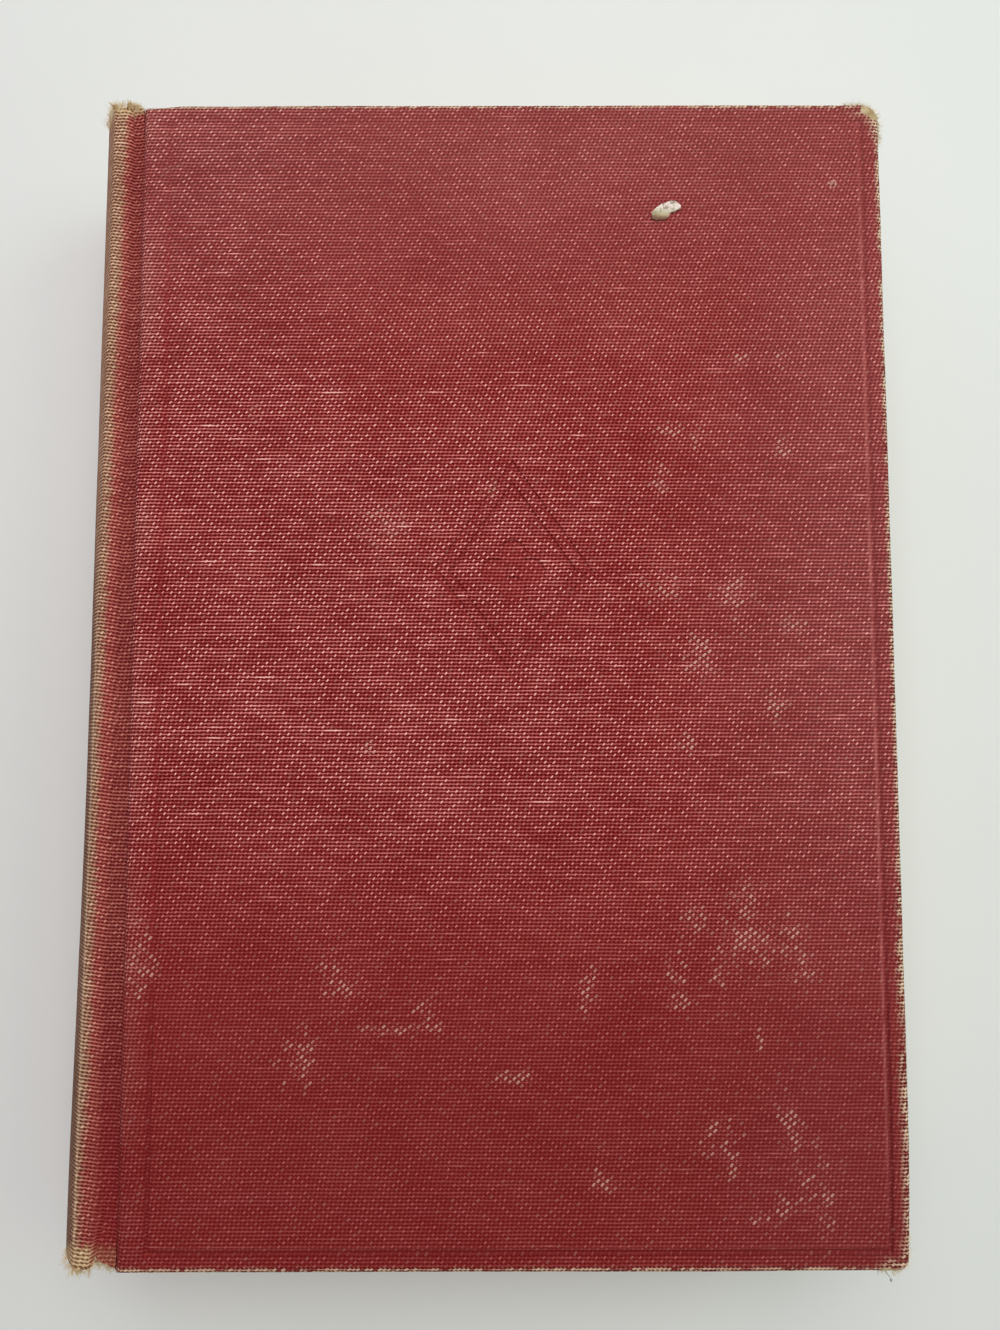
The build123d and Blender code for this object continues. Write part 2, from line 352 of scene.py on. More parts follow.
def weavePattern(finish, threads, worn):
    # weft and warp lines, with a slanted warp knuckle over every second crossing
    x, y, _ = finish.parts(threads)
    drift = finish.parts(finish.noise(threads, 1 / weave["wander"], output="Color"))
    above = [finish.larger(y - level, 0.0) ** 2.0 for level in (weave["leanFrom"], weave["leanTo"])]
    leaning = x - y * weave["lean"] - (above[0] - above[1]) * weave["leanMore"]
    weft = (y + above[0] * 0.4) * (1 / weave["weftPitch"]) + drift[1] * 0.35
    row = finish.floor(weft)
    inRow = weft - row - 0.5
    warp = leaning * (1 / weave["warpPitch"]) + drift[0] * 0.9 - inRow * weave["slant"]
    column = finish.floor(warp)
    swingAcross = abs(finish.sine(warp * math.pi))
    swingAlong = finish.sine(weft * math.pi)
    columnSide = finish.math("FLOORED_MODULO", column, 2.0) * -2.0 + 1.0
    over = columnSide * swingAlong * 0.5 + 0.5
    along = finish.vector(warp * 0.11, row * 3.7)
    slub = finish.noise(along, 1.0, 1.0)
    knot = finish.node("ShaderNodeTexWhiteNoise", noise_dimensions="2D")
    finish.wire(knot.inputs["Vector"], finish.vector(column, row))
    knotted = Value(finish, knot.outputs["Value"])
    if worn:
        weftRise, warpRise = slub.step(0.35, 0.65, 0.54, 0.68), 0.40
        bright = knotted * 0.34 + 0.62
        narrow = 1.6
    else:
        upper = y.step(10 * mm, 60 * mm) * x.step(-50 * mm, 10 * mm, 0.2, 1.0)
        lower = y.step(-10 * mm, -60 * mm)
        weftRise = (
            slub.step(0.35, 0.65, 0.86, 1.1)
            * (upper * -0.06 - lower * 0.02 + 0.62)
            * (swingAcross * 0.12 + 0.9)
        )
        warpRise = upper * 0.15 + lower * 0.09 + 0.34
        bright = knotted * 0.46 + 0.58
        narrow = 1.8
    weftLine = abs(swingAlong) ** 2.0 * (weftRise + slub.step(0.68, 0.8, 0.0, 0.24))
    warpLine = swingAcross ** 1.5 * warpRise
    knuckle = swingAcross ** narrow * over ** 1.3
    height = finish.larger(finish.larger(weftLine, warpLine), knuckle * bright)
    return height, knuckle, knotted


def scuffMask(finish, knot):
    # knuckles rubbed pale one by one: many within a spot, a stray one elsewhere
    cloud = finish.noise(finish.place, 420, 3.0, 0.6)
    share = 0.0
    for x, y, halfWidth, halfHeight in scuffs:
        away = finish.node("ShaderNodeVectorMath", operation="MULTIPLY_ADD")
        finish.wire(away.inputs[0], finish.place)
        away.inputs[1].default_value = (1 / (halfWidth * mm), 1 / (halfHeight * mm), 0)
        away.inputs[2].default_value = (-x / halfWidth, -y / halfHeight, 0)
        far = finish.node("ShaderNodeVectorMath", operation="LENGTH")
        finish.wire(far.inputs[0], away.outputs[0])
        share = finish.larger(share, Value(finish, far.outputs["Value"]).step(2.3, 0.0))
    share = share * cloud.step(0.3, 0.66, 0.15, 1.0) + 0.02
    return (share - knot).step(-0.2, 0.45)


def pressedLines(finish, x, y):
    # blind rule and device: where the cloth is pressed flat, and how far past the rule a point lies
    ruleLow, ruleHigh = jointX + cover["ruleJointInset"], foreX - cover["ruleInset"]
    pastX = abs(x - (ruleLow + ruleHigh) / 2) + (ruleLow - ruleHigh) / 2
    pastY = abs(y) + (cover["ruleInset"] - headY)
    past = finish.larger(pastX, pastY)
    mask = abs(past).step(0.62 * cover["ruleWidth"], 0.4 * cover["ruleWidth"])
    fromMiddle = abs(x - (lipX + foreX) / 2)
    fromCentre = abs(y - device["raise"])
    lozenge = fromMiddle + fromCentre * (device["width"] / device["height"])
    for half, line in lozengeLines:
        across = abs(lozenge + (line / 2 - half))
        mask = finish.larger(mask, across.step(0.65 * line, 0.45 * line))
    for far, wide in ((fromMiddle, fromCentre), (fromCentre, fromMiddle)):
        out = far - device["petalReach"]
        fromPetal = (out ** 2.0 + wide ** 2.0) ** 0.5
        petal = fromPetal.step(1.06 * device["petalRadius"], 0.94 * device["petalRadius"])
        mask = finish.larger(mask, petal)
    return mask, past


def ruleRims(finish, colour, x, y, past, onTop):
    # inner rim of the rule is rubbed and carries a painted highlight on the fore-edge and tail sides, and a
    # line of painted shade lies along its outer one
    ruleX = jointX + cover["ruleJointInset"]
    side = finish.larger(
        x.step(foreX - 6 * mm, foreX - 4.6 * mm),
        y.step(6 * mm - headY, 4.6 * mm - headY) * x.step(ruleX + 1 * mm, ruleX + 2 * mm),
    )
    broken = (
        finish.noise(finish.place, 240, 3.0, 0.6).step(0.3, 0.7, 0.25, 1.0)
        * abs(y).step(92 * mm, 66 * mm, 0.3, 1.0)
    )
    inner = abs(past + 0.6 * cover["ruleWidth"]).step(0.5 * mm, 0.05 * mm)
    outer = abs(past - 0.3 * cover["ruleWidth"]).step(0.42 * mm, 0.1 * mm)
    colour = finish.blend(inner * side * onTop * broken * 0.3, colour, weave["litCrown"])
    return finish.blend(outer * onTop * (side * 0.24 + 0.04), colour, weave["shadedGap"])


def rubbedFace(finish, colour, x, y, z, height, knuckle, knot, cloud):
    # rubbed spots, one pulled thread drawn with a painted highlight round its loop and painted shade in its
    # core, and the rubbed lip beside the joint
    pale = scuffMask(finish, knot) * knuckle.step(0.12, 0.55) * z.step(midZ, topZ - 1 * mm)
    colour = finish.blend(pale * 0.66, colour, weave["rubbed"])
    loopX, loopY = weave["pulledThread"]
    fromLoop = ((x - loopX) ** 2.0 + (y - loopY) ** 2.0) ** 0.5
    strayed = finish.noise(finish.place, 1500, 1.0) - 0.5
    loop = abs(fromLoop + strayed * (2.2 * mm) - 0.45 * mm).step(0.34 * mm, 0.05 * mm)
    loop = loop * fromLoop.step(1.1 * mm, 0.7 * mm) * z.step(midZ, topZ - 1 * mm)
    # painted shade in the pulled thread's core, then a painted highlight round its loop
    colour = finish.blend(fromLoop.step(0.7 * mm, 0.2 * mm) * 0.4, colour, weave["shadedGap"])
    colour = finish.blend(loop * height.step(0.1, 0.6, 0.35, 1.0) * 0.6, colour, weave["rubbed"])
    lip = (
        x.step(lipX + 4.6 * mm, lipX + 0.8 * mm)
        * y.step(-70 * mm, 20 * mm, 0.35, 1.0)
        * y.step(45 * mm, 92 * mm, 1.0, 0.5)
    )
    return finish.blend(
        lip * cloud.step(0.36, 0.62) * height.step(0.2, 0.9) * 0.5, colour, weave["rubbed"])


def fadedSpine(finish, colour, x, y, leaning, level, height):
    # warm on the shoulder, tan along the ridge and grey-brown on the back, thread by thread
    lengthwise = y * (1 / (88 * mm))
    bowed = lengthwise * lengthwise
    threadEnds = finish.noise(finish.vector(x * 90, y * 1500), 1.0, 1.0)
    shifted = leaning + (threadEnds - 0.5) * (1.7 * mm)
    toRidge = (
        shifted
        - bowed * (0.45 * mm)
        - lengthwise * (0.5 * mm)
        + y.step(-64 * mm, -88 * mm, 0.0, 0.7 * mm)
    )
    toBack = leaning + finish.larger(lengthwise, 0.0) * (2.6 * mm)
    away = toRidge.step(-2.9 * mm, -4.7 * mm)
    back = (toBack + (threadEnds - 0.5) * (1.2 * mm)).step(
        -5.4 * mm, finish.larger(lengthwise, 0.0) * (-3.2 * mm) - 6.4 * mm)
    shoulder = finish.ramp(
        level, (0.10, tint(82, 8, 14)), (0.40, tint(150, 58, 56)), (0.64, tint(204, 120, 106)),
        (0.86, tint(234, 162, 142)), (1.0, tint(246, 194, 172)))
    pinker = finish.larger(leaning.step(-0.8 * mm, -2.8 * mm), y.step(-80 * mm, -45 * mm))
    colour = finish.blend(pinker, colour, shoulder)
    tan = finish.ramp(
        level, (0.10, tint(64, 26, 20)), (0.36, tint(146, 98, 78)), (0.60, tint(212, 174, 142)),
        (1.0, tint(246, 222, 192)))
    colour = finish.blend(away * 0.94, colour, tan)
    ridgeThread = (
        abs(leaning + 5.3 * mm).step(0.34 * mm, 0.12 * mm)
        * y.step(30 * mm, -10 * mm)
        * height.step(0.3, 0.7, 0.25, 0.7)
    )
    brown = finish.ramp(
        level, (0.10, tint(72, 44, 36)), (0.52, tint(138, 100, 82)), (1.0, tint(204, 166, 138)))
    colour = finish.blend(back * 0.85, colour, brown)
    return finish.blend(ridgeThread, colour, tint(240, 210, 174))


def bareEnds(finish, colour, x, y, z, leaning, level, cloud):
    # threads bare of colour at the head and the tail of the spine
    girth = x + finish.smaller(z + (3 * mm - topZ), 0.0)
    stray = finish.noise(finish.vector(girth * 1600, y * 300), 1.0, 1.0)
    ragged = (stray - 0.5) * (3 * mm)
    onBack = z.step(topZ - 1.5 * mm, topZ - 5 * mm)
    spare = onBack * ((cloud - 0.5) * (9 * mm) + 1.2 * mm)
    headEnd = (y + ragged).step(headY - 1.9 * mm, headY - 0.7 * mm)
    tailEnd = (
        (y + ragged + spare).step(4.6 * mm - headY, 2.6 * mm - headY)
        * (leaning + ragged * 0.5).step(-2.0 * mm, -3.2 * mm, 0.22, 1.0)
    )
    bareThreads = finish.ramp(
        level, (0.08, tint(74, 42, 30)), (0.30, tint(160, 120, 86)), (0.50, tint(206, 174, 132)),
        (1.0, tint(240, 220, 188)))
    return finish.blend(finish.larger(headEnd, tailEnd) * 0.9, colour, bareThreads)


def wornEdges(finish, colour, x, y, fromMiddle, height, knot):
    # threads worn bare along the edges, and the board seen at the corners
    toFore = foreX - x
    toEnd = headY - abs(y)
    toEdge = finish.smaller(toFore, toEnd)
    toCorner = (toFore ** 2.0 + toEnd ** 2.0) ** 0.5
    outer = fromMiddle.step(midZ - 2.2 * mm, midZ - 0.5 * mm)
    patchy = finish.noise(finish.place, 160, 3.0, 0.6).step(0.25, 0.52)
    reach = 1.25 * mm + y.step(-20 * mm, -60 * mm, 0.0, 0.9 * mm) * toFore.step(3 * mm, 2 * mm)
    rim = toEdge.step(reach, 0.2 * mm) * outer * patchy
    low = y.step(0.01, -0.01)
    tip = finish.larger(
        toFore.step(low * (-0.9 * mm) + 1.8 * mm, 0.3 * mm) * toEnd.step(7.6 * mm, 5.2 * mm),
        toEnd.step(1.2 * mm, 0.3 * mm) * toFore.step(6.4 * mm, 4.8 * mm),
    )
    tip = finish.larger(
        tip, toCorner.step(7.0 * mm, 2.5 * mm) * toEdge.step(3.0 * mm, 0.9 * mm) * 0.8)
    rubbed = finish.larger(rim, tip * outer)
    shown = rubbed * (height * (knot + 0.7)).step(0.36, 0.66)
    colour = finish.blend(rubbed * height.step(0.56, 0.3) * 0.6, colour, tint(66, 16, 16))
    colour = finish.blend(shown, colour, weave["bare"])
    ragged = finish.noise(finish.place, 900, 2.0) - 0.5
    reach = y.step(-0.01, 0.01, 1.3 * mm, 3.1 * mm) + ragged * (1.6 * mm)
    down = fromMiddle + ragged * (2.4 * mm)
    worn = (
        (reach - toCorner).step(-0.15 * mm, 0.15 * mm)
        * down.step(midZ - 2.5 * mm, midZ - 1.7 * mm)
    )
    strip = (
        (toEnd + ragged * (0.8 * mm)).step(0.75 * mm, 0.45 * mm)
        * abs(toFore - 3.6 * mm).step(2.1 * mm, 1.5 * mm)
        * low
        * down.step(midZ - 1.5 * mm, midZ - 0.9 * mm)
    )
    board = finish.blend(ragged.step(-0.15, 0.2), tint(172, 148, 108), weave["board"])
    return finish.blend(finish.larger(worn, strip) * 0.92, colour, board)


def clothFinish(name, scuffed=False, edgeWorn=False, pressed=False, faded=False, endsWorn=False):
    finish = Finish(name)
    x, y, z = finish.parts(finish.place)
    height, knuckle, knot = weavePattern(finish, finish.threads, faded)
    cloud = finish.noise(finish.place, 55, 3.0, 0.55)
    leaning = x - jointX - y * skew
    fromMiddle = abs(z - midZ)

    # contrast of the weave: crisp about the middle, flatter where it is soiled
    if faded:
        contrast = 1.0 - leaning.step(-3.6 * mm, -1.8 * mm) * y.step(-50 * mm, -80 * mm) * 0.35
    else:
        contrast = (
            y.step(-62 * mm, -10 * mm, 0.62, 1.46)
            * y.step(25 * mm, 75 * mm, 1.0, 0.64)
            * (
                x.step(5 * mm, 45 * mm) * y.step(-60 * mm, 0.0) * y.step(70 * mm, 30 * mm) * -0.3
                + x.step(-15 * mm, -45 * mm) * y.step(20 * mm, 60 * mm) * 0.3
                + 1.0
            )
        )
    if pressed:
        # straightened first, because the fore-edge is bumped in at the tail
        share = finish.larger(1 - (y + headY) * (1 / cover["tailDentReach"]), 0.0)
        bump = share * share * x.step(foreX - cover["rim"], foreX) * cover["tailDent"]
        flat, past = pressedLines(finish, x + bump, y)
        onTop = z.step(midZ, topZ - 1 * mm)
        flat = flat * y.step(headY - 2 * mm, headY - 6 * mm, 0.3, 1.0)
        contrast = contrast * (1.0 - flat * onTop * 0.32)
    level = (height + (cloud - 0.5) * 0.15 - weave["middle"]) * contrast + weave["middle"]
    # weave colour by level: painted shade in the gaps, painted highlights on the crowns
    colour = finish.ramp(
        level,
        (0.10, weave["shadedGap"]),
        (0.40, weave["thread"]),
        (0.60, weave["rise"]),
        (0.84, weave["litCrown"]),
        (1.00, weave["shine"]),
    )
    if pressed:
        colour = ruleRims(finish, colour, x, y, past, onTop)
    if scuffed:
        colour = rubbedFace(finish, colour, x, y, z, height, knuckle, knot, cloud)
    if faded:
        colour = fadedSpine(finish, colour, x, y, leaning, level, height)
    else:
        # dust and a painted sheen, paler towards the head and the fore-edge
        dustAndSheen = finish.larger(y.step(40 * mm, 97 * mm), x.step(25 * mm, 66 * mm, 0.0, 0.9))
        dustAndSheen = dustAndSheen * y.step(-70 * mm, 10 * mm, 0.45, 1.0)
        colour = finish.blend(dustAndSheen * 0.055, colour, weave["dustAndSheen"])
    # painted shade: darker towards the tail, where the lamps' light falls off
    darkening = y.step(-85 * mm, -5 * mm, 0.18 if faded else 0.32, 0.0)
    colour = finish.blend(darkening, colour, (0.36, 0.30, 0.30, 1.0), "MULTIPLY")
    if endsWorn:
        colour = bareEnds(finish, colour, x, y, z, leaning, level, cloud)

    # painted shade in the groove
    groove = (
        fromMiddle.step(midZ - 0.5 * mm, midZ - 1.2 * mm)
        * leaning.step(-3.0 * mm, -1.0 * mm)
        * x.step(jointX + 1.9 * mm, jointX + 0.9 * mm)
        * y.step(-90 * mm, -60 * mm, 0.4, 1.0)
    )
    colour = finish.blend(groove, colour, (0.75, 0.66, 0.68, 1.0), "MULTIPLY")
    if edgeWorn:
        colour = wornEdges(finish, colour, x, y, fromMiddle, height, knot)
    finish.colour(colour)
    finish.set(Roughness=0.85, Sheen_Weight=0.0, Specular_IOR_Level=0.10)
    finish.bump(height, weave["depth"], 0.6)
    return finish.material


# Spine: askew to the boards, rounded back between two ridges

spine = {
    "lean": math.radians(0.382),
    "end": spineHigh.y - 0.07 * mm,
    "grooveMiddle": 1.4 * mm,       # joint line to the edge of the shoulder, at half length
    "grooveDepth": 1.9 * mm,
    "rise": 0.6 * mm,
    "shoulderDrop": 1.25 * mm,
    "shoulderWidth": 3.4 * mm,
    "bulge": 5.5 * mm,
    "turnIn": 15.0 * mm,
    "foldGap": 1.56 * mm,           # outer face to the inner face of the turn-in
    "tailFuller": 0.7 * mm,         # back of the worn cloth stands off the inlay near the tail
    "capRise": 0.7 * mm,            # head cap above the boards
    "rowSlope": 0.16,               # weft runs down from the ridge to the groove
    "uneven": 0.06 * mm,
    "shortTurn": 2.4 * mm,          # turn-in at the shoulders
    "tailTorn": 1.3 * mm,           # short of the end beside the groove
    "tailRagged": 0.30 * mm,
    "tailClosed": 0.9 * mm,         # groove narrows at the tail
    "cutWidth": 48.0 * mm,          # of the flat sheet
    "rows": 72,
}
skew = math.tan(spine["lean"])
shoulderHalf = midZ - spine["shoulderDrop"]
spine["radius"] = (shoulderHalf ** 2 + spine["bulge"] ** 2) / (2 * spine["bulge"])
spine["centre"] = spine["radius"] - spine["bulge"] - spine["grooveMiddle"] - spine["shoulderWidth"]


# Cover cloth, front and back

cover = {
    "turnIn": 15.0 * mm,
    "headCorner": 3.0 * mm,
    "tailCorner": 1.8 * mm,
    "edgeRound": 0.7 * mm,
    "insideRound": 0.5 * mm,
    "grooveDepth": 1.9 * mm,
    "grooveFloor": 0.3 * mm,
    "ruleInset": 3.2 * mm,
    "ruleJointInset": 6.0 * mm,
    "ruleWidth": 0.9 * mm,
    "ruleDepth": 0.30 * mm,
    "headRuleDepth": 0.10 * mm,     # worn nearly away along the head
    "cutSpacing": 6.5 * mm,
    "rim": 12.0 * mm,               # reach of the wear in from the edges
    "unevenEdge": 0.09 * mm,
    "unevenFace": 0.05 * mm,
    "tailDent": 0.75 * mm,          # fore-edge bumped in at the tail
    "tailDentReach": 26.0 * mm,
    "jointDip": 0.6 * mm,           # head edge drawn down towards the joint
    "cornerSegments": 7,
    "edgeSegments": 4,
    "insideSegments": 3,
    "jointAllowance": 2.0 * mm,     # of the flat sheet, past the joint line
    "edgeAllowance": 3.5 * mm,      # and round each edge
}

device = {
    "raise": 15.5 * mm,
    "width": 27.0 * mm,
    "height": 38.0 * mm,
    "line": 1.0 * mm,
    "innerStep": 2.6 * mm,
    "innerLine": 0.6 * mm,
    "petalRadius": 2.3 * mm,
    "petalReach": 3.1 * mm,
    "depth": 0.26 * mm,
}
lozengeLines = [        # half the width of each outline, and its line
    (device["width"] / 2, device["line"]),
    (device["width"] / 2 - device["innerStep"], device["innerLine"]),
]


def pressRule(piece):
    # a soft groove along the edges: down, across and up again
    wall = cover["ruleWidth"] / 3
    pick(piece, "polygons", lambda points: flatAt(points, topZ))
    bpy.ops.mesh.inset(thickness=cover["ruleInset"] - cover["ruleWidth"] / 2)
    inner = lipX + cover["ruleInset"] - cover["ruleWidth"] / 2
    jointSide = jointX + cover["ruleJointInset"] - cover["ruleWidth"] / 2
    pick(piece, "vertices", lambda points: near(points[0].x, inner) and near(points[0].z, topZ))
    slide(x=jointSide - inner)
    large = 50 * mm                 # only the face within the rule is that wide and that long
    pick(piece, "polygons", lambda points: all(near(p.z, topZ) and p.x > jointSide - wall for p in points)
         and max(p.x for p in points) - min(p.x for p in points) > large
         and max(p.y for p in points) - min(p.y for p in points) > large)
    bpy.ops.mesh.inset(thickness=wall, depth=-cover["ruleDepth"])
    bpy.ops.mesh.inset(thickness=wall)
    bpy.ops.mesh.inset(thickness=wall, depth=cover["ruleDepth"])
    headSide = headY - cover["ruleInset"] - cover["ruleWidth"]
    ruleFloor = topZ - cover["ruleDepth"]
    pick(piece, "vertices", lambda points: near(points[0].z, ruleFloor) and points[0].y > headSide)
    slide(z=cover["ruleDepth"] - cover["headRuleDepth"])


def openInside(piece):
    # turn-ins on three sides of the inside face, window between them
    pick(piece, "polygons", lambda points: flatAt(points, insideZ))
    bpy.ops.mesh.inset(thickness=cover["turnIn"])
    windowX = lipX + cover["turnIn"]
    pick(piece, "vertices", lambda points: near(points[0].x, windowX) and near(points[0].z, insideZ))
    slide(x=-cover["turnIn"])

    def inWindow(p):
        slack = 0.1 * mm - cover["turnIn"]
        return abs(p.y) < headY + slack and p.x < foreX + slack

    pick(piece, "polygons", lambda points: flatAt(points, insideZ) and (
        all(inWindow(p) for p in points) or all(near(p.x, lipX) for p in points)))
    bpy.ops.mesh.delete(type="ONLY_FACE")
    setMode("OBJECT")


def roundEdges(piece):
    for side, radius in ((1, cover["headCorner"]), (-1, cover["tailCorner"])):
        pick(piece, "edges", lambda points: all(near(p.x, foreX) and near(p.y, side * headY) for p in points))
        bpy.ops.mesh.bevel(offset=radius, segments=cover["cornerSegments"], affect="EDGES")

    def outline(points):
        # on the outer boundary: fore-edge, head, tail or one of the two rounded corners
        def onIt(p):
            radius = cover["headCorner"] if p.y > 0 else cover["tailCorner"]
            centre = Vector((foreX - radius, math.copysign(headY - radius, p.y)))
            arc = (p.xy - centre).length > radius - 0.02 * mm and p.x > centre.x and abs(p.y) > abs(centre.y)
            return near(p.x, foreX) or near(abs(p.y), headY) or arc
        return all(onIt(p) for p in points) and abs(points[0].z - points[1].z) < 0.01 * mm

    pick(piece, "edges", lambda points: flatAt(points, topZ)
         and (outline(points) or all(near(p.x, lipX) for p in points)))
    bpy.ops.mesh.bevel(offset=cover["edgeRound"], segments=cover["edgeSegments"], affect="EDGES")
    pick(piece, "edges", lambda points: flatAt(points, insideZ) and outline(points))
    bpy.ops.mesh.bevel(offset=cover["insideRound"], segments=cover["insideSegments"], affect="EDGES")
    setMode("OBJECT")


def grooveWall(piece):
    # board's edge at the joint: the cloth runs down from the lip to the foot of the groove
    pick(piece, "polygons", lambda points: all(near(p.x, lipX) for p in points))
    bpy.ops.mesh.delete(type="FACE")
    lipEdge = topZ - cover["edgeRound"]
    pick(piece, "edges", lambda points: all(near(p.x, lipX) and near(p.z, lipEdge) for p in points))
    run = jointX + cover["grooveFloor"] - lipX
    drop = cover["edgeRound"] - cover["grooveDepth"]
    for across, down in ((0.12, 0.30), (0.28, 0.34), (0.60, 0.36), (0.10, 0.22)):
        bpy.ops.mesh.extrude_region_move(TRANSFORM_OT_translate={"value": (across * run, 0, down * drop)})
    setMode("OBJECT")


def wearOutline(piece):
    # edges and faces of an old case are never quite straight
    for count, size, normal in (
        (int((foreX - lipX) / cover["cutSpacing"]), foreX - lipX, (1, 0, 0)),
        (int(2 * headY / cover["cutSpacing"]), 2 * headY, (0, 1, 0)),
    ):
        for step in range(1, count):
            reach = size * step / count
            cutAcross(piece, (lipX + reach, 0, 0) if normal[0] else (0, reach - headY, 0), normal)
    for vertex in piece.data.vertices:
        place = vertex.co.copy()
        rimX = smoothStep(place.x, foreX - cover["rim"], foreX)
        rimY = smoothStep(abs(place.y), headY - cover["rim"], headY)
        if place.y > 0:
            vertex.co.y -= cover["jointDip"] * rimY * smoothStep(place.x, lipX + 5 * mm, lipX)
        if place.x < lipX + 2 * mm:
            continue
        vertex.co.x += cover["unevenEdge"] * rimX * wave(place, 17 * mm, 3)
        vertex.co.y += cover["unevenEdge"] * rimY * wave(place, 15 * mm, 7)
        vertex.co.z += cover["unevenFace"] * wave(place, 38 * mm, 11) * smoothStep(place.z, insideZ, topZ)
        dent = max(0.0, 1 - (headY + place.y) / cover["tailDentReach"])
        vertex.co.x -= cover["tailDent"] * dent ** 2 * rimX


def unroll(piece):
    # cloth coordinates in metres, carried round the folds so that the weave follows the cloth
    mesh = piece.data
    layer = uvLayer(piece)
    fold = 2 * cover["edgeRound"]
    for loop in mesh.loops:
        place = mesh.vertices[loop.vertex_index].co
        drop = max(0.0, topZ - place.z)
        u, v = place.x, place.y
        if place.x > foreX - fold:
            u += drop
        if place.x < lipX + fold:
            u -= drop
        if abs(place.y) > headY - fold:
            v += math.copysign(drop, place.y)
        layer.data[loop.index].uv = (u, v)


def cutDevice(piece):
    centre = Vector(((lipX + foreX) / 2, device["raise"], topZ + 0.5 * mm))
    cutters = []
    for half, line in lozengeLines:
        dropSelection()
        bpy.ops.mesh.primitive_circle_add(vertices=4, radius=half, fill_type="NGON", location=centre)
        cutter = bpy.context.active_object
        cutter.scale.y = device["height"] / device["width"]
        applyPlace()
        setMode("EDIT")
        selectMesh()
        bpy.ops.mesh.inset(thickness=line)
        bpy.ops.mesh.delete(type="ONLY_FACE")
        setMode("OBJECT")
        cutters.append(cutter)
    for turn in range(4):
        reach = Matrix.Rotation(turn * math.pi / 2, 3, "Z") @ Vector((device["petalReach"], 0, 0))
        dropSelection()
        bpy.ops.mesh.primitive_circle_add(
            vertices=20, radius=device["petalRadius"], fill_type="NGON", location=centre + reach)
        cutter = bpy.context.active_object
        applyPlace()
        cutters.append(cutter)
    for cutter in cutters:
        dropSelection()
        cutter.select_set(True)
        bpy.context.view_layer.objects.active = cutter
        setMode("EDIT")
        selectMesh()
        bpy.ops.mesh.extrude_region_move(
            TRANSFORM_OT_translate={"value": (0, 0, topZ - device["depth"] - centre.z)})
        selectMesh()
        bpy.ops.mesh.normals_make_consistent(inside=False)
        setMode("OBJECT")
        useModifier(piece, "BOOLEAN", operation="DIFFERENCE", solver="EXACT", object=cutter)
        bpy.data.objects.remove(cutter)


def coverCloth(name, stamped):
    piece = addBox(name, Vector((lipX, -headY, insideZ)), Vector((foreX, headY, topZ)))
    if stamped:
        pressRule(piece)
    openInside(piece)
    roundEdges(piece)
    grooveWall(piece)
    wearOutline(piece)
    useModifier(piece, "SOLIDIFY", thickness=clothThick, offset=-1, use_even_offset=True)
    cleanUp(piece)
    if stamped:
        cutDevice(piece)
    unroll(piece)
    return piece


frontCloth = coverCloth("frontCloth", stamped=True)
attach(frontCloth, "front_cover")
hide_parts("front_cloth")
frontCloth.data.materials.append(clothFinish("frontBookCloth", scuffed=True, edgeWorn=True, pressed=True))
print("front cloth:", len(frontCloth.data.polygons), "faces")

backCloth = coverCloth("backCloth", stamped=False)
backCloth.data.transform(turnedOver)
cleanUp(backCloth)
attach(backCloth, "back_cover")
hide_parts("back_cloth")
backCloth.data.materials.append(clothFinish("backBookCloth", edgeWorn=True))
print("back cloth:", len(backCloth.data.polygons), "faces")


# Spine cloth: drawn about the joint line at half height, set askew as the solids are

def spineProfile():
    # outer face from the front groove over the ridge to the middle of the back, then mirrored
    ridgeRound = 1.2 * mm
    centre = spine["centre"]
    grooveZ = midZ - spine["grooveDepth"]
    edge = -spine["grooveMiddle"]
    roundZ = shoulderHalf - ridgeRound
    roundX = centre - math.sqrt((spine["radius"] - ridgeRound) ** 2 - roundZ ** 2)
    turn = math.atan2(roundZ, roundX - centre)
    half = [(edge + spine["rise"] + 0.2 * mm, grooveZ - 0.3 * mm)]
    slope, height = spine["rise"] + 0.6 * mm, shoulderHalf - grooveZ
    half += [(edge + spine["rise"] - slope * k / 5, grooveZ + height * smoothStep(k / 5, 0, 1))
             for k in range(6)]
    start = half[-1][0]
    half += [(start + (roundX - start) * k / 4, shoulderHalf) for k in range(1, 4)]
    half += [(roundX + ridgeRound * math.cos(a), roundZ + ridgeRound * math.sin(a))
             for a in (math.pi / 2 + (turn - math.pi / 2) * k / 5 for k in range(6))]
    half += [(centre + spine["radius"] * math.cos(a), spine["radius"] * math.sin(a))
             for a in (turn + (math.pi - turn) * k / 14 for k in range(1, 15))]
    return half + [(x, -z) for x, z in reversed(half[:-1])]


def inwardNormals(points):
    normals = []
    for k in range(len(points)):
        before, after = points[max(k - 1, 0)], points[min(k + 1, len(points) - 1)]
        way = Vector((after[0] - before[0], after[1] - before[1])).normalized()
        normals.append(Vector((-way.y, way.x)))
    return normals


def spineRows():
    # place along the spine and how far in, row by row: the ends fold round into turn-ins
    end = spine["end"]
    bend = spine["foldGap"] / 2
    rows = [(end - spine["turnIn"] * k / 4, spine["foldGap"]) for k in (4, 3, 2, 1)]
    rows += [(end - bend + bend * math.sin(a), bend + bend * math.cos(a))
             for a in (math.pi * k / 6 for k in range(7))]
    inner = end - bend
    outside = [(inner - 2 * inner * k / spine["rows"], 0.0) for k in range(1, spine["rows"])]
    return rows + outside + [(-y, inset) for y, inset in reversed(rows)]


def onSpineBack(x):
    return smoothStep(-x, spine["grooveMiddle"] + 2.2 * mm, spine["grooveMiddle"] + 4.4 * mm)


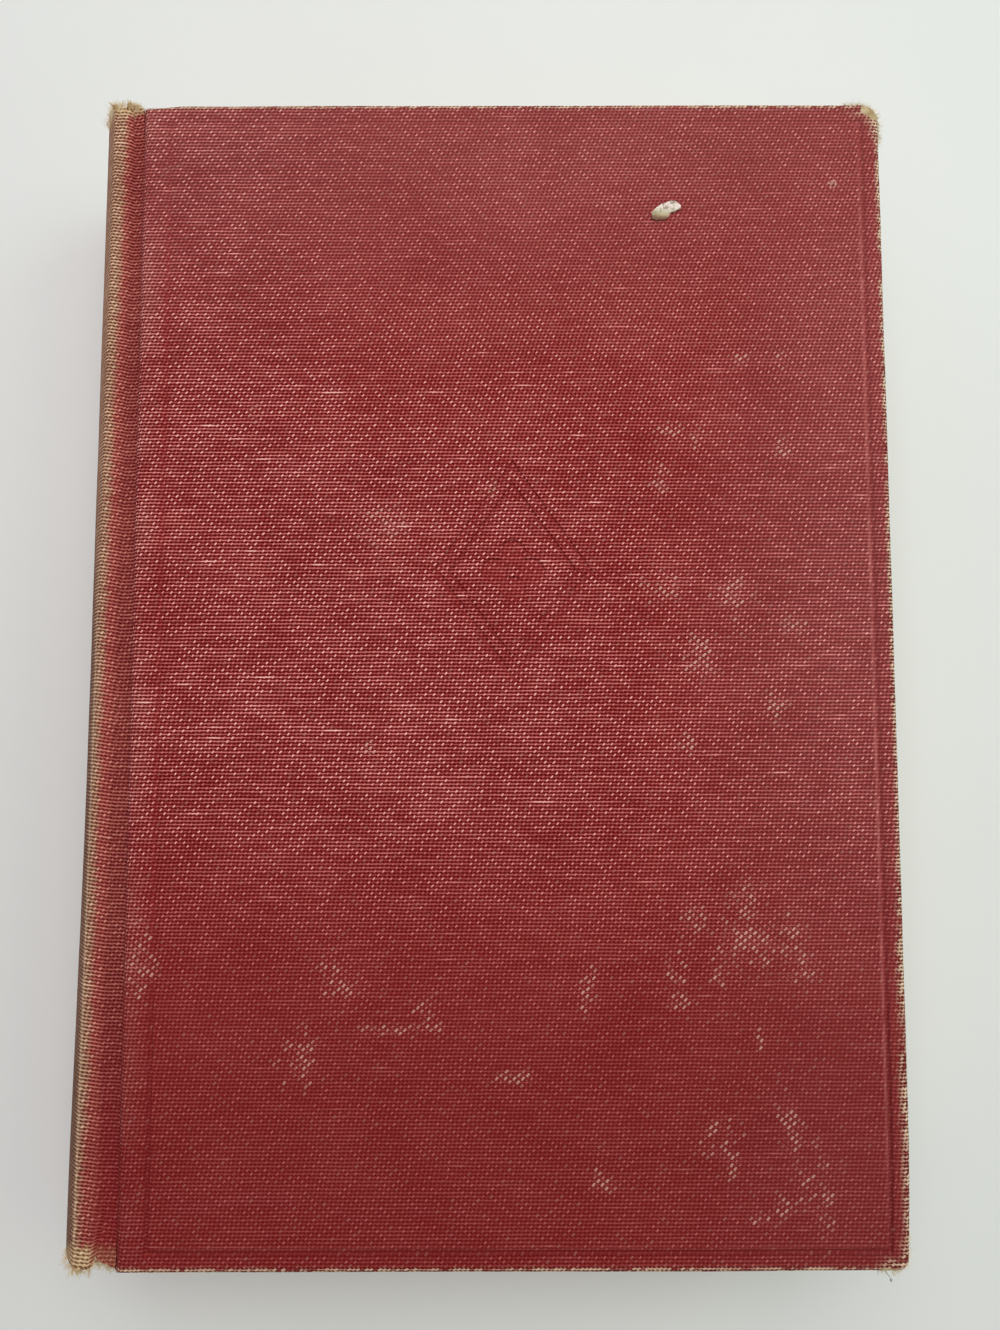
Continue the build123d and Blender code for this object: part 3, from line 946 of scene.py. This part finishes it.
def endShift(x, z, y, end):
    # how far the worn head and tail of the spine depart from a straight cut
    place = Vector((x, y, z))
    onBack = onSpineBack(x)
    if y > 0:
        arch = math.exp(-((x + 2.8 * mm) / (1.5 * mm)) ** 2)
        lift = spine["capRise"] * max(arch, onBack) * (1.0 + 0.35 * wave(place, 3 * mm, 2))
        return lift * smoothStep(y, end - 9 * mm, end)
    torn = 0.0
    if z > 0:
        torn = spine["tailTorn"] * smoothStep(x, -2.9 * mm, -1.8 * mm)
    return (torn + spine["tailRagged"] * wave(place, 2 * mm, 9)) * smoothStep(-y, end - 8 * mm, end)


def spineCloth():
    profile = spineProfile()
    normals = inwardNormals(profile)
    rows = spineRows()
    columns = len(profile) - 1
    lengths = [0.0]
    for first, second in zip(profile, profile[1:]):
        lengths.append(lengths[-1] + math.dist(first, second))
    piece = addGrid("spineCloth", columns, len(rows) - 1)
    end = rows[0][0] + spine["turnIn"]
    ridge = -spine["grooveMiddle"] - spine["shoulderWidth"]
    places = []
    for vertex in piece.data.vertices:
        column = round((vertex.co.x + 0.5) * columns)
        y, inset = rows[round((vertex.co.y + 0.5) * (len(rows) - 1))]
        x, z = profile[column]
        onBack = onSpineBack(x)
        turnIn = spine["shortTurn"] + onBack * (spine["turnIn"] - spine["shortTurn"])
        if inset == spine["foldGap"]:
            y = math.copysign(end - (end - abs(y)) * turnIn / spine["turnIn"], y)
        out = onBack * spine["tailFuller"] * smoothStep(-y, 15 * mm, 97 * mm)
        out += spine["uneven"] * (1 + wave(Vector((x, y, z)), 14 * mm, 5))
        shift = normals[column] * (inset * (0.35 + 0.65 * onBack) - out)
        nearGroove = smoothStep(x, -spine["grooveMiddle"] - 1.2 * mm, -spine["grooveMiddle"])
        closed = spine["tailClosed"] * nearGroove * smoothStep(-y, 80 * mm, 95 * mm)
        v = y - math.copysign(inset, y) + spine["rowSlope"] * max(0.0, x - ridge)
        y += endShift(x, z, y, end)
        x, z = x + shift.x + closed, z + shift.y
        vertex.co = (jointX + x + skew * y, y, midZ + z)
        places.append((jointX - lengths[column], v))
    layer = uvLayer(piece)
    for loop in piece.data.loops:
        layer.data[loop.index].uv = places[loop.vertex_index]
    useModifier(piece, "SOLIDIFY", thickness=clothThick * 0.9, offset=-1)
    cleanUp(piece, 60)
    return piece


spinePiece = spineCloth()
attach(spinePiece, "pages")
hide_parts("spine_cloth")
spinePiece.data.materials.append(clothFinish("spineBookCloth", faded=True, endsWorn=True))
print("spine cloth:", len(spinePiece.data.polygons), "faces")


# Hinges: the joint's cloth and the fold of the endpaper, between the pages and each cover

hinge = {
    "clothUnder": 0.7 * mm,         # reach under the spine's slope and the cover's wall
    "clothThick": 0.30 * mm,
    "rise": 0.35 * mm,              # old groove is pulled shallow
    "wallRise": 0.25 * mm,
    "endRise": 0.6 * mm,            # and more so at its ends
    "headPast": 0.45 * mm,          # worn cloth stands past the head of the boards, less so by the board
    "headSlope": 0.9 * mm,
    "tailShort": 0.6 * mm,          # torn away at the tail, more so by the spine
    "tailSlope": 1.1 * mm,
    "ragged": 0.3 * mm,
    "paperThick": 0.05 * mm,
    "paperReach": 1.45 * mm,        # on the flyleaf
    "columns": 12,
    "rows": 48,
}


def hingeStrip(name, lowY, highY, level, thickness, leftAt, rightAt, front):
    piece = addGrid(name, hinge["columns"], hinge["rows"])
    layer = uvLayer(piece)
    for vertex in piece.data.vertices:
        y = lowY + (highY - lowY) * (vertex.co.y + 0.5)
        left, right = leftAt(y), rightAt(y)
        share = vertex.co.x + 0.5
        x = left + (right - left) * share
        rise = 0.0
        if thickness == hinge["clothThick"]:
            rise = hinge["rise"] + hinge["wallRise"] * smoothStep(share, 0.5, 1.0)
            rise += hinge["endRise"] * smoothStep(abs(y), headY - 8 * mm, headY)
            end = smoothStep(abs(y), headY - 4 * mm, headY - 0.5 * mm)
            y += end * hinge["ragged"] * wave(Vector((x, y, 0)), 0.5 * mm, 8)
            y += hinge["tailSlope"] * (1 - share) * smoothStep(-y, headY - 8 * mm, headY)
            y -= hinge["headSlope"] * share * smoothStep(y, headY - 4 * mm, headY)
        vertex.co = (x, y, level + rise)
    for loop in piece.data.loops:
        layer.data[loop.index].uv = piece.data.vertices[loop.vertex_index].co.xy
    useModifier(piece, "SOLIDIFY", thickness=thickness, offset=-1)
    if not front:
        piece.data.transform(turnedOver)
    cleanUp(piece)
    return piece


def jointLeft(y):
    return jointX - spine["grooveMiddle"] + spine["rise"] + skew * y - hinge["clothUnder"]


def jointRight(y):
    return jointX + cover["grooveFloor"] + hinge["clothUnder"]


jointFinish = clothFinish("jointBookCloth", faded=True, endsWorn=True)
for side, body in (("front", "front_cover"), ("back", "back_cover")):
    floorZ = topZ - cover["grooveDepth"] + 0.02 * mm
    strip = hingeStrip(side + "JointCloth", hinge["tailShort"] - headY, headY + hinge["headPast"], floorZ,
                       hinge["clothThick"], jointLeft, jointRight, side == "front")
    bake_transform(strip)
    strip.data.materials.append(jointFinish)
print("joint cloth done")


# Frayed cloth: one strand, copied along the worn ends and corners

fray = {
    "width": 0.032 * mm,
    "segments": 4,
    "headCount": 300,
    "tailCount": 150,
    "clumpCount": 40,
    "jointCount": 120,
    "cornerCount": 300,
    "seed": 17,
}


def oneStrand():
    dropSelection()
    bpy.ops.mesh.primitive_cone_add(vertices=3, radius1=1.0, radius2=0.4, depth=1.0, location=(0, 0, 0.5))
    strand = bpy.context.active_object
    applyPlace()
    pick(strand, "edges", lambda points: abs(points[0].z - points[1].z) > 0.5)
    bpy.ops.mesh.subdivide(number_cuts=fray["segments"] - 1)
    setMode("OBJECT")
    return strand


def frayPatch(name, hairs, body, material):
    # each hair is its root, its way, its length, its width and the curl of its tip
    strand = oneStrand()
    copies = []
    for root, way, length, width, curl in hairs:
        hair = strand.copy()
        hair.data = strand.data.copy()
        bpy.context.scene.collection.objects.link(hair)
        way = way.normalized()
        side = way.orthogonal().normalized()
        other = way.cross(side)
        for vertex in hair.data.vertices:
            a, b, along = vertex.co
            vertex.co = root + way * (length * along) + (side * a + other * b) * width + curl * along ** 2
        copies.append(hair)
    bpy.data.objects.remove(strand)
    dropSelection()
    for hair in copies:
        hair.select_set(True)
    bpy.context.view_layer.objects.active = copies[0]
    bpy.ops.object.join()
    piece = bpy.context.active_object
    piece.name = name
    cleanUp(piece, 60)
    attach(piece, body)
    piece.data.materials.append(material)


def fibreFinish(name, dark, base, light):
    finish = Finish(name)
    mix = finish.noise(finish.place, 1500, 2.0, 0.7)
    finish.colour(finish.ramp(mix, (0.30, dark), (0.5, base), (0.72, light)))
    finish.set(Roughness=0.9, Specular_IOR_Level=0.1)
    return finish.material


def along(points, share):
    # point at a share of the way along a list
    at = share * (len(points) - 1)
    k = min(int(at), len(points) - 2)
    return Vector(points[k]).lerp(Vector(points[k + 1]), at - k)


def spineEnd(sign, share):
    # point on the worn end of the spine, from the front groove over the ridge and down the back
    x, z = along(spineProfile()[3:22], share)
    end = spine["end"]
    y = sign * end + endShift(x, z, sign * end, end)
    onBack = onSpineBack(x)
    out = onBack * (spine["tailFuller"] if sign < 0 else 0.0)
    return Vector((jointX + x - out + skew * y, y, midZ + z - 0.25 * mm)), onBack


def scatter(dice, *ranges):
    return Vector([dice.uniform(*limits) for limits in ranges])


def spineHairs(sign, count, dice):
    hairs = []
    for _ in range(count):
        root, onBack = spineEnd(sign, dice.random() ** 1.25)
        root.y -= sign * dice.uniform(0.1, 0.7) * mm
        root.z += dice.uniform(0.0, 0.25) * mm
        way = Vector((dice.uniform(-0.55, 0.45) - 0.5 * onBack, sign, dice.uniform(-0.1, 0.5)))
        length = dice.uniform(0.7, 1.8) * mm
        curl = scatter(dice, (-0.4, 0.4), (-0.2, 0.2), (-0.4, 0.1)) * mm
        hairs.append((root, way, length, fray["width"] * dice.uniform(0.8, 2.2), curl))
    return hairs


def jointHairs(sign, dice):
    # torn threads between the end of the spine and the board, low at the tail, under the opened cover
    rises, lengths, curlTop = (0.0, 0.5), (0.4, 1.1), 0.2
    if sign < 0:
        rises, lengths, curlTop = (-0.35, -0.05), (0.7, 1.9), 0.0
    hairs = []
    floor = topZ - cover["grooveDepth"] + hinge["rise"] + hinge["endRise"]
    for _ in range(fray["jointCount"]):
        share = dice.random()
        x = jointLeft(sign * headY) + share * (jointRight(0) - jointLeft(sign * headY)) - 0.3 * mm
        past = -hinge["tailShort"] - hinge["tailSlope"] * (1 - share)
        if sign > 0:
            past = hinge["headPast"] - hinge["headSlope"] * share
        y = sign * (headY + past - dice.uniform(0.1, 0.6) * mm)
        root = Vector((x, y, floor - dice.uniform(0.0, 0.3) * mm))
        way = Vector((dice.uniform(-0.5, 0.5), sign, dice.uniform(*rises)))
        length = dice.uniform(*lengths) * mm
        curl = scatter(dice, (-0.5, 0.5), (-0.2, 0.2), (-0.3, curlTop)) * mm
        hairs.append((root, way, length, fray["width"] * dice.uniform(0.8, 2.2), curl))
    return hairs


def clumpHairs(dice):
    # loose ends that hang from the tail of the ridge
    hairs = []
    for _ in range(fray["clumpCount"]):
        root, _ = spineEnd(-1, dice.uniform(0.42, 0.62))
        root.y += dice.uniform(0.0, 0.6) * mm
        way = Vector((dice.uniform(-0.7, 0.5), -1.0, dice.uniform(-0.9, -0.2)))
        curl = scatter(dice, (-0.3, 0.8), (-0.3, 0.2), (-0.6, 0.0)) * mm
        hairs.append((root, way, dice.uniform(1.0, 2.0) * mm, fray["width"] * dice.uniform(1.0, 2.4), curl))
    return hairs


def cornerHairs(sign, radius, count, reach, dice):
    # round one fore-edge corner, along the head or tail and down the fore-edge
    hairs = []
    dent = cover["tailDent"] if sign < 0 else 0.0
    centre = Vector((foreX - dent - radius, sign * (headY - radius), 0))
    arc = radius * math.pi / 2
    for _ in range(count):
        at = dice.uniform(-reach, arc + 1.5 * reach)
        turn = min(max(at, 0.0), arc) / radius
        out = Vector((math.sin(turn), sign * math.cos(turn), 0))
        root = centre + out * radius
        root.x += min(at, 0.0)
        root.y -= sign * max(at - arc, 0.0)
        root.z = topZ - dice.uniform(0.15, 1.0) * mm
        root -= out * 0.1 * mm
        way = out + scatter(dice, (-0.8, 0.8), (-0.8, 0.8), (-0.4, 0.3))
        curl = scatter(dice, (-0.5, 0.5), (-0.5, 0.5), (-0.4, 0.2)) * mm
        length = dice.uniform(0.2, 0.7) * mm + (dice.uniform(0.2, 0.7) * mm if dice.random() < 0.2 else 0.0)
        hairs.append((root, way, length, fray["width"] * dice.uniform(0.7, 1.8), curl))
    return hairs


ochreFibre = fibreFinish("ochreFibre", tint(184, 148, 100), tint(228, 202, 156), tint(248, 234, 204))
paleFibre = fibreFinish("paleFibre", tint(190, 168, 130), tint(226, 208, 174), tint(240, 230, 208))
darkFibre = fibreFinish("darkFibre", tint(70, 66, 56), tint(96, 92, 80), tint(120, 116, 100))
dice = random.Random(fray["seed"])
headHairs = spineHairs(1, fray["headCount"], dice) + jointHairs(1, dice)
tailHairs = spineHairs(-1, fray["tailCount"], dice) + clumpHairs(dice)
frayPatch("headFray", headHairs, "pages", ochreFibre)
frayPatch("tailFray", tailHairs, "pages", ochreFibre)
frayPatch("tailJointFray", jointHairs(-1, dice), "pages", paleFibre)
foreHeadHairs = cornerHairs(1, cover["headCorner"], fray["cornerCount"], 2.8 * mm, dice)
foreTailHairs = cornerHairs(-1, cover["tailCorner"], fray["cornerCount"] // 2, 3.0 * mm, dice)
frayPatch("foreHeadFray", foreHeadHairs, "front_cover", paleFibre)
frayPatch("foreTailFray", foreTailHairs, "front_cover", paleFibre)
looseRoot = Vector((foreX - 4.6 * mm, 0.15 * mm - headY, topZ - 0.6 * mm))
looseWay = Vector((0.62, -1.0, -0.1))
looseHairs = [
    (looseRoot, looseWay, 2.3 * mm, 0.07 * mm, Vector((0.25, 0.2, 0)) * mm),
    (looseRoot + looseWay * 1.6 * mm, Vector((0.5, -0.9, 0)), 0.45 * mm, 0.16 * mm, Vector()),
]
frayPatch("looseThread", looseHairs, "front_cover", darkFibre)
print("frayed ends done")


# Stuck flake near the head of the front cover

flake = {
    "place": Vector((32.65, 78.1)) * mm,
    "long": 5.3 * mm,
    "short": 2.8 * mm,
    "turn": math.radians(24),
    "thickness": 0.22 * mm,
    "bite": (0.46, -1.12, 0.42),    # depth, angle and breadth of the notch below
    "ragged": 0.16,
    "curl": 0.28 * mm,
    "uneven": 0.06 * mm,
}


def paperFlake():
    dropSelection()
    bpy.ops.mesh.primitive_circle_add(vertices=40, radius=0.5, fill_type="NGON")
    piece = bpy.context.active_object
    piece.name = "flake"
    setMode("EDIT")
    selectMesh()
    for _ in range(3):
        bpy.ops.mesh.inset(thickness=0.11)
    setMode("OBJECT")
    depth, biteAngle, breadth = flake["bite"]
    for vertex in piece.data.vertices:
        angle = math.atan2(vertex.co.y, vertex.co.x)
        far = vertex.co.length / 0.5
        bite = depth * math.exp(-((angle - biteAngle) / breadth) ** 2)
        around = Vector((math.cos(angle), math.sin(angle), 0)) * mm
        ragged = wave(around, 0.35 * mm, 4)
        ragged += wave(around, 0.09 * mm, 9) * smoothStep(-vertex.co.y, 0.05, 0.3)
        place = Vector((vertex.co.x * flake["long"], vertex.co.y * flake["short"]))
        place *= 1 + (flake["ragged"] * ragged - bite) * far
        place.rotate(Matrix.Rotation(flake["turn"], 2))
        curl = flake["curl"] * far ** 3 * smoothStep(vertex.co.x, -0.1, 0.45)
        lift = flake["uneven"] * wave(Vector((place.x, place.y, 0)), 0.8 * mm, 6)
        vertex.co = (*(flake["place"] + place), topZ + flake["uneven"] + curl + lift)
    useModifier(piece, "SOLIDIFY", thickness=flake["thickness"], offset=1)
    cleanUp(piece, 35)
    return piece


def flakeFinish():
    finish = Finish("flakePaper")
    place = finish.place
    x, y, _ = finish.parts(place)
    cloud = finish.noise(place, 1100, 3.0, 0.6)
    # soil and painted shade below, a painted highlight along its upper rim
    upward = (x - flake["place"].x) * 0.10 + (y - flake["place"].y) * 0.92
    rimHighlight = (upward + (cloud - 0.5) * (0.8 * mm)).step(-1.5 * mm, 1.2 * mm)
    colour = finish.ramp(
        rimHighlight, (0.02, tint(128, 92, 74)), (0.22, tint(192, 174, 142)), (0.52, tint(206, 196, 172)),
        (0.95, tint(246, 228, 220)))
    colour = finish.blend(cloud.step(0.5, 0.36) * 0.75, colour, tint(142, 126, 102))
    finish.colour(colour)
    finish.set(Roughness=0.9, Specular_IOR_Level=0.1)
    finish.bump(cloud, 0.12 * mm, 0.7)
    return finish.material


flakePiece = paperFlake()
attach(flakePiece, "front_cover")
flakePiece.data.materials.append(flakeFinish())

# The spine's cloth as cut, turn-ins included
spineCut = (spine["cutWidth"], 2 * (headY + spine["turnIn"]))


# Pages: one block whose edges show the leaves

pages = {
    "leaves": 108,
    "hollow": 3.6 * mm,             # fore-edge drawn in at the middle
    "unevenFore": 0.16 * mm,        # from leaf to leaf
    "waveFore": 0.10 * mm,          # along the leaves
    "unevenEnd": 0.07 * mm,
    "groove": 0.06 * mm,            # between two leaves
    "layerCuts": (35, 5),           # 36 times 6 layers: two for each leaf
    "backCuts": (0.8 * mm, 2.4 * mm, 4.2 * mm),
    "bands": 12,
    "endBand": 0.5 * mm,
    "liningGap": 2.42 * mm,         # back of the pages to the outside of the spine
    "roundFrom": 1.25 * mm,         # past the joint line, where the rounding of the back begins
    "seed": 41,
}


def pageBlock():
    stackLow, stackHigh = topZ - leafLow.z, leafLow.z
    backX = jointX - 3 * mm
    low, high = Vector((backX, pagesLow.y, stackLow)), Vector((pagesHigh.x, pagesHigh.y, stackHigh))
    piece = addBox("pageBlock", low, high)
    for cuts in pages["layerCuts"]:
        pick(piece, "edges", lambda points: abs(points[0].z - points[1].z) > 0.01 * mm)
        bpy.ops.mesh.subdivide(number_cuts=cuts)
        setMode("OBJECT")
    for x in pages["backCuts"]:
        cutAcross(piece, (backX + x, 0, 0), (1, 0, 0))
    band = (pagesHigh.y - pagesLow.y) / pages["bands"]
    places = [pagesLow.y + band * step for step in range(1, pages["bands"])]
    for y in places + [pagesHigh.y - pages["endBand"], pagesLow.y + pages["endBand"]]:
        cutAcross(piece, (0, y, 0), (0, 1, 0))
    dice = random.Random(pages["seed"])
    trim = [(dice.random(), dice.random()) for _ in range(pages["leaves"] + 1)]
    layer = (stackHigh - stackLow) / (2 * pages["leaves"])
    halfStack = (stackHigh - stackLow) / 2
    radius = spine["radius"] - pages["liningGap"]
    shoulder = shoulderHalf - clothThick - 0.25 * mm
    for vertex in piece.data.vertices:
        x, y, z = vertex.co
        k = round((z - stackLow) / layer)
        foreTrim, endTrim = trim[k // 2]
        dip = pages["groove"] if k % 2 == 0 else 0.0
        share = (z - midZ) / halfStack
        if near(x, pagesHigh.x):
            vertex.co.x -= pages["hollow"] * (1 - share ** 2) + pages["unevenFore"] * foreTrim + dip
            vertex.co.x += pages["waveFore"] * wave(Vector((0, y, 3 * z)), 24 * mm, 1)
        if near(abs(y), pagesHigh.y):
            vertex.co.y -= math.copysign(pages["unevenEnd"] * endTrim + dip, y)
        flare = smoothStep(x, jointX + 1.6 * mm, jointX - 1.6 * mm)
        level = share * (halfStack + (shoulder - halfStack) * flare)
        vertex.co.z = midZ + level
        if x < jointX + 0.5 * mm:
            back = spine["centre"] - math.sqrt(radius ** 2 - level ** 2)
            first = jointX + pages["roundFrom"]
            reach = (first - x) / (first - backX)
            vertex.co.x = first + (jointX + back - first) * reach
            vertex.co.x += skew * y * reach
    cleanUp(piece, 20)
    return piece


def leafFinish():
    finish = Finish("leafEdges")
    place = finish.place
    x, y, z = finish.parts(place)
    streaks = finish.noise(finish.vector(x * 9, y * 9, z * 2600), 1.0, 3.0, 0.7)
    stains = finish.noise(place, 38, 4.0, 0.6)
    base = finish.ramp(streaks, (0.28, tint(190, 160, 126)), (0.5, tint(230, 204, 172)),
                       (0.75, tint(242, 222, 198)))
    edge = abs(z - midZ).step(8 * mm, 14 * mm)
    base = finish.blend(edge * 0.35, base, tint(188, 162, 122))
    base = finish.blend(stains.step(0.5, 0.75) * 0.4, base, tint(170, 138, 98))
    finish.colour(base)
    finish.set(Roughness=0.85, Specular_IOR_Level=0.25)
    finish.bump(streaks, 0.05 * mm, 0.6)
    return finish.material


block = pageBlock()
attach(block, "pages")
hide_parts("text_block")
block.data.materials.append(leafFinish())
print("pages:", len(block.data.polygons), "faces")


# Endpapers, boards and the linings under the spine keep their solids

def paperFinish(name, base, dark, light, fibre=900):
    finish = Finish(name)
    place = finish.place
    cloud = finish.noise(place, 28, 4.0, 0.6)
    speck = finish.noise(place, fibre, 3.0, 0.65)
    foxing = finish.noise(place, 150, 5.0, 0.6).step(0.58, 0.8)
    colour = finish.ramp(cloud, (0.3, dark), (0.5, base), (0.7, light))
    colour = finish.blend(speck.step(0.4, 0.7) * 0.18, colour, dark)
    colour = finish.blend(foxing * 0.35, colour, tint(168, 126, 82))
    finish.colour(colour)
    finish.set(Roughness=0.9, Specular_IOR_Level=0.2)
    finish.bump(speck, 0.03 * mm, 0.5)
    return finish.material


def gauzeFinish():
    finish = Finish("gauze")
    _, y, z = finish.parts(finish.place)
    across = abs(finish.sine(y * (math.pi / (1.2 * mm))))
    along = abs(finish.sine(z * (math.pi / (1.2 * mm))))
    thread = finish.larger(across, along).step(0.8, 0.97)
    finish.colour(finish.blend(thread, tint(176, 150, 108), tint(226, 214, 188)))
    finish.set(Roughness=0.9)
    finish.bump(thread, 0.10 * mm, 0.7)
    return finish.material


def bandFinish():
    finish = Finish("bandThread")
    place = finish.place
    _, y, z = finish.parts(place)
    turns = abs(finish.sine((z + y * 0.5) * (math.pi / (0.55 * mm))))
    # soiled in patches
    darkening = finish.noise(place, 120, 3.0)
    colour = finish.ramp(
        turns, (0.1, tint(150, 128, 96)), (0.5, tint(206, 190, 158)), (1.0, tint(226, 214, 186)))
    finish.colour(finish.blend(darkening * 0.35, colour, tint(164, 136, 100)))
    finish.set(Roughness=0.85)
    finish.bump(turns, 0.12 * mm, 0.8)
    return finish.material


endpaper = paperFinish("endpaper", tint(225, 211, 184), tint(211, 193, 160), tint(234, 224, 202))
greyBoard = paperFinish("greyBoard", tint(140, 126, 106), tint(116, 102, 84), tint(156, 144, 126), 500)
inlayCard = paperFinish("inlayCard", tint(150, 126, 92), tint(128, 104, 74), tint(166, 144, 112), 600)
liningPaper = paperFinish("liningPaper", tint(178, 150, 108), tint(156, 126, 84), tint(192, 168, 130), 600)
gauze = gauzeFinish()
bandThread = bandFinish()
kept = {
    "front_board": greyBoard, "back_board": greyBoard,
    "front_pastedown": endpaper, "back_pastedown": endpaper,
    "front_flyleaf": endpaper, "back_flyleaf": endpaper,
    "spine_inlay": inlayCard, "spine_lining": liningPaper, "mull": gauze,
    "head_band": bandThread, "tail_band": bandThread,
}
for node, material in kept.items():
    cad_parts[node].data.materials.clear()
    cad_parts[node].data.materials.append(material)


def foldLeft(y):
    return pastedownLow.x - 0.2 * mm


def foldRight(y):
    return leafLow.x + hinge["paperReach"]


for side, body in (("front", "front_cover"), ("back", "back_cover")):
    gapZ = (leafHigh.z + pastedownLow.z + hinge["paperThick"]) / 2
    strip = hingeStrip(side + "EndpaperFold", leafLow.y, leafHigh.y, gapZ, hinge["paperThick"],
                       foldLeft, foldRight, side == "front")
    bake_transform(strip)
    strip.data.materials.append(endpaper)
print("endpapers and linings done")


# Floor, lights and camera

def plainFloor():
    dropSelection()
    bpy.ops.mesh.primitive_plane_add(size=4.0, location=(0, 0, 0))
    floor = bpy.context.active_object
    floor.name = "floor"
    finish = Finish("paleFloor")
    cloud = finish.noise(finish.place, 9, 2.0)
    finish.colour(finish.ramp(cloud, (0.3, tint(230, 230, 229)), (0.7, tint(233, 233, 232))))
    finish.set(Roughness=0.7, Specular_IOR_Level=0.2)
    floor.data.materials.append(finish.material)


studio = {
    "ambient": 0.20,
    "panels": {     # place, size, power, colour
        "overPanel": ((0.0, 0.1, 0.9), 0.8, 2.6, (1.0, 0.95, 0.88)),
        "headPanel": ((0.0, 0.5, 0.8), 0.7, 3.8, (0.95, 0.98, 1.0)),
        "forePanel": ((0.60, 0.24, 0.60), 0.6, 2.1, (0.76, 1.0, 0.87)),
        "spinePanel": ((-0.60, 0.28, 0.60), 0.6, 0.4, (1.0, 0.6, 0.8)),
    },
}


def softLights():
    world = bpy.context.scene.world or bpy.data.worlds.new("studio")
    bpy.context.scene.world = world
    world.use_nodes = True
    sky = world.node_tree.nodes["Background"]
    sky.inputs["Color"].default_value = (1.0, 1.0, 1.0, 1.0)
    sky.inputs["Strength"].default_value = studio["ambient"]
    for name, (place, size, power, colour) in studio["panels"].items():
        panel = bpy.data.lights.new(name, "AREA")
        panel.energy = power
        panel.size = size
        panel.color = colour
        lamp = bpy.data.objects.new(name, panel)
        lamp.location = place
        lamp.rotation_euler = (-Vector(place)).to_track_quat("-Z", "Y").to_euler()
        bpy.context.scene.collection.objects.link(lamp)


lens = {
    "focalPixels": 1000.0,
    "longSidePixels": 1330.0,
    "place": (3.67 * mm, -12.48 * mm, 201.0 * mm),
    "turn": (4.2183, -0.0687, -0.12),
}


def photoCamera():
    data = bpy.data.cameras.new("photoCamera")
    data.sensor_width = 36.0
    data.lens = data.sensor_width * lens["focalPixels"] / lens["longSidePixels"]
    data.clip_start = 0.005
    camera = bpy.data.objects.new("photoCamera", data)
    camera.location = lens["place"]
    camera.rotation_euler = [math.radians(angle) for angle in lens["turn"]]
    bpy.context.scene.collection.objects.link(camera)
    bpy.context.scene.camera = camera


plainFloor()
softLights()
photoCamera()
bpy.context.scene.view_settings.view_transform = "Standard"
print("floor, lights and camera set")
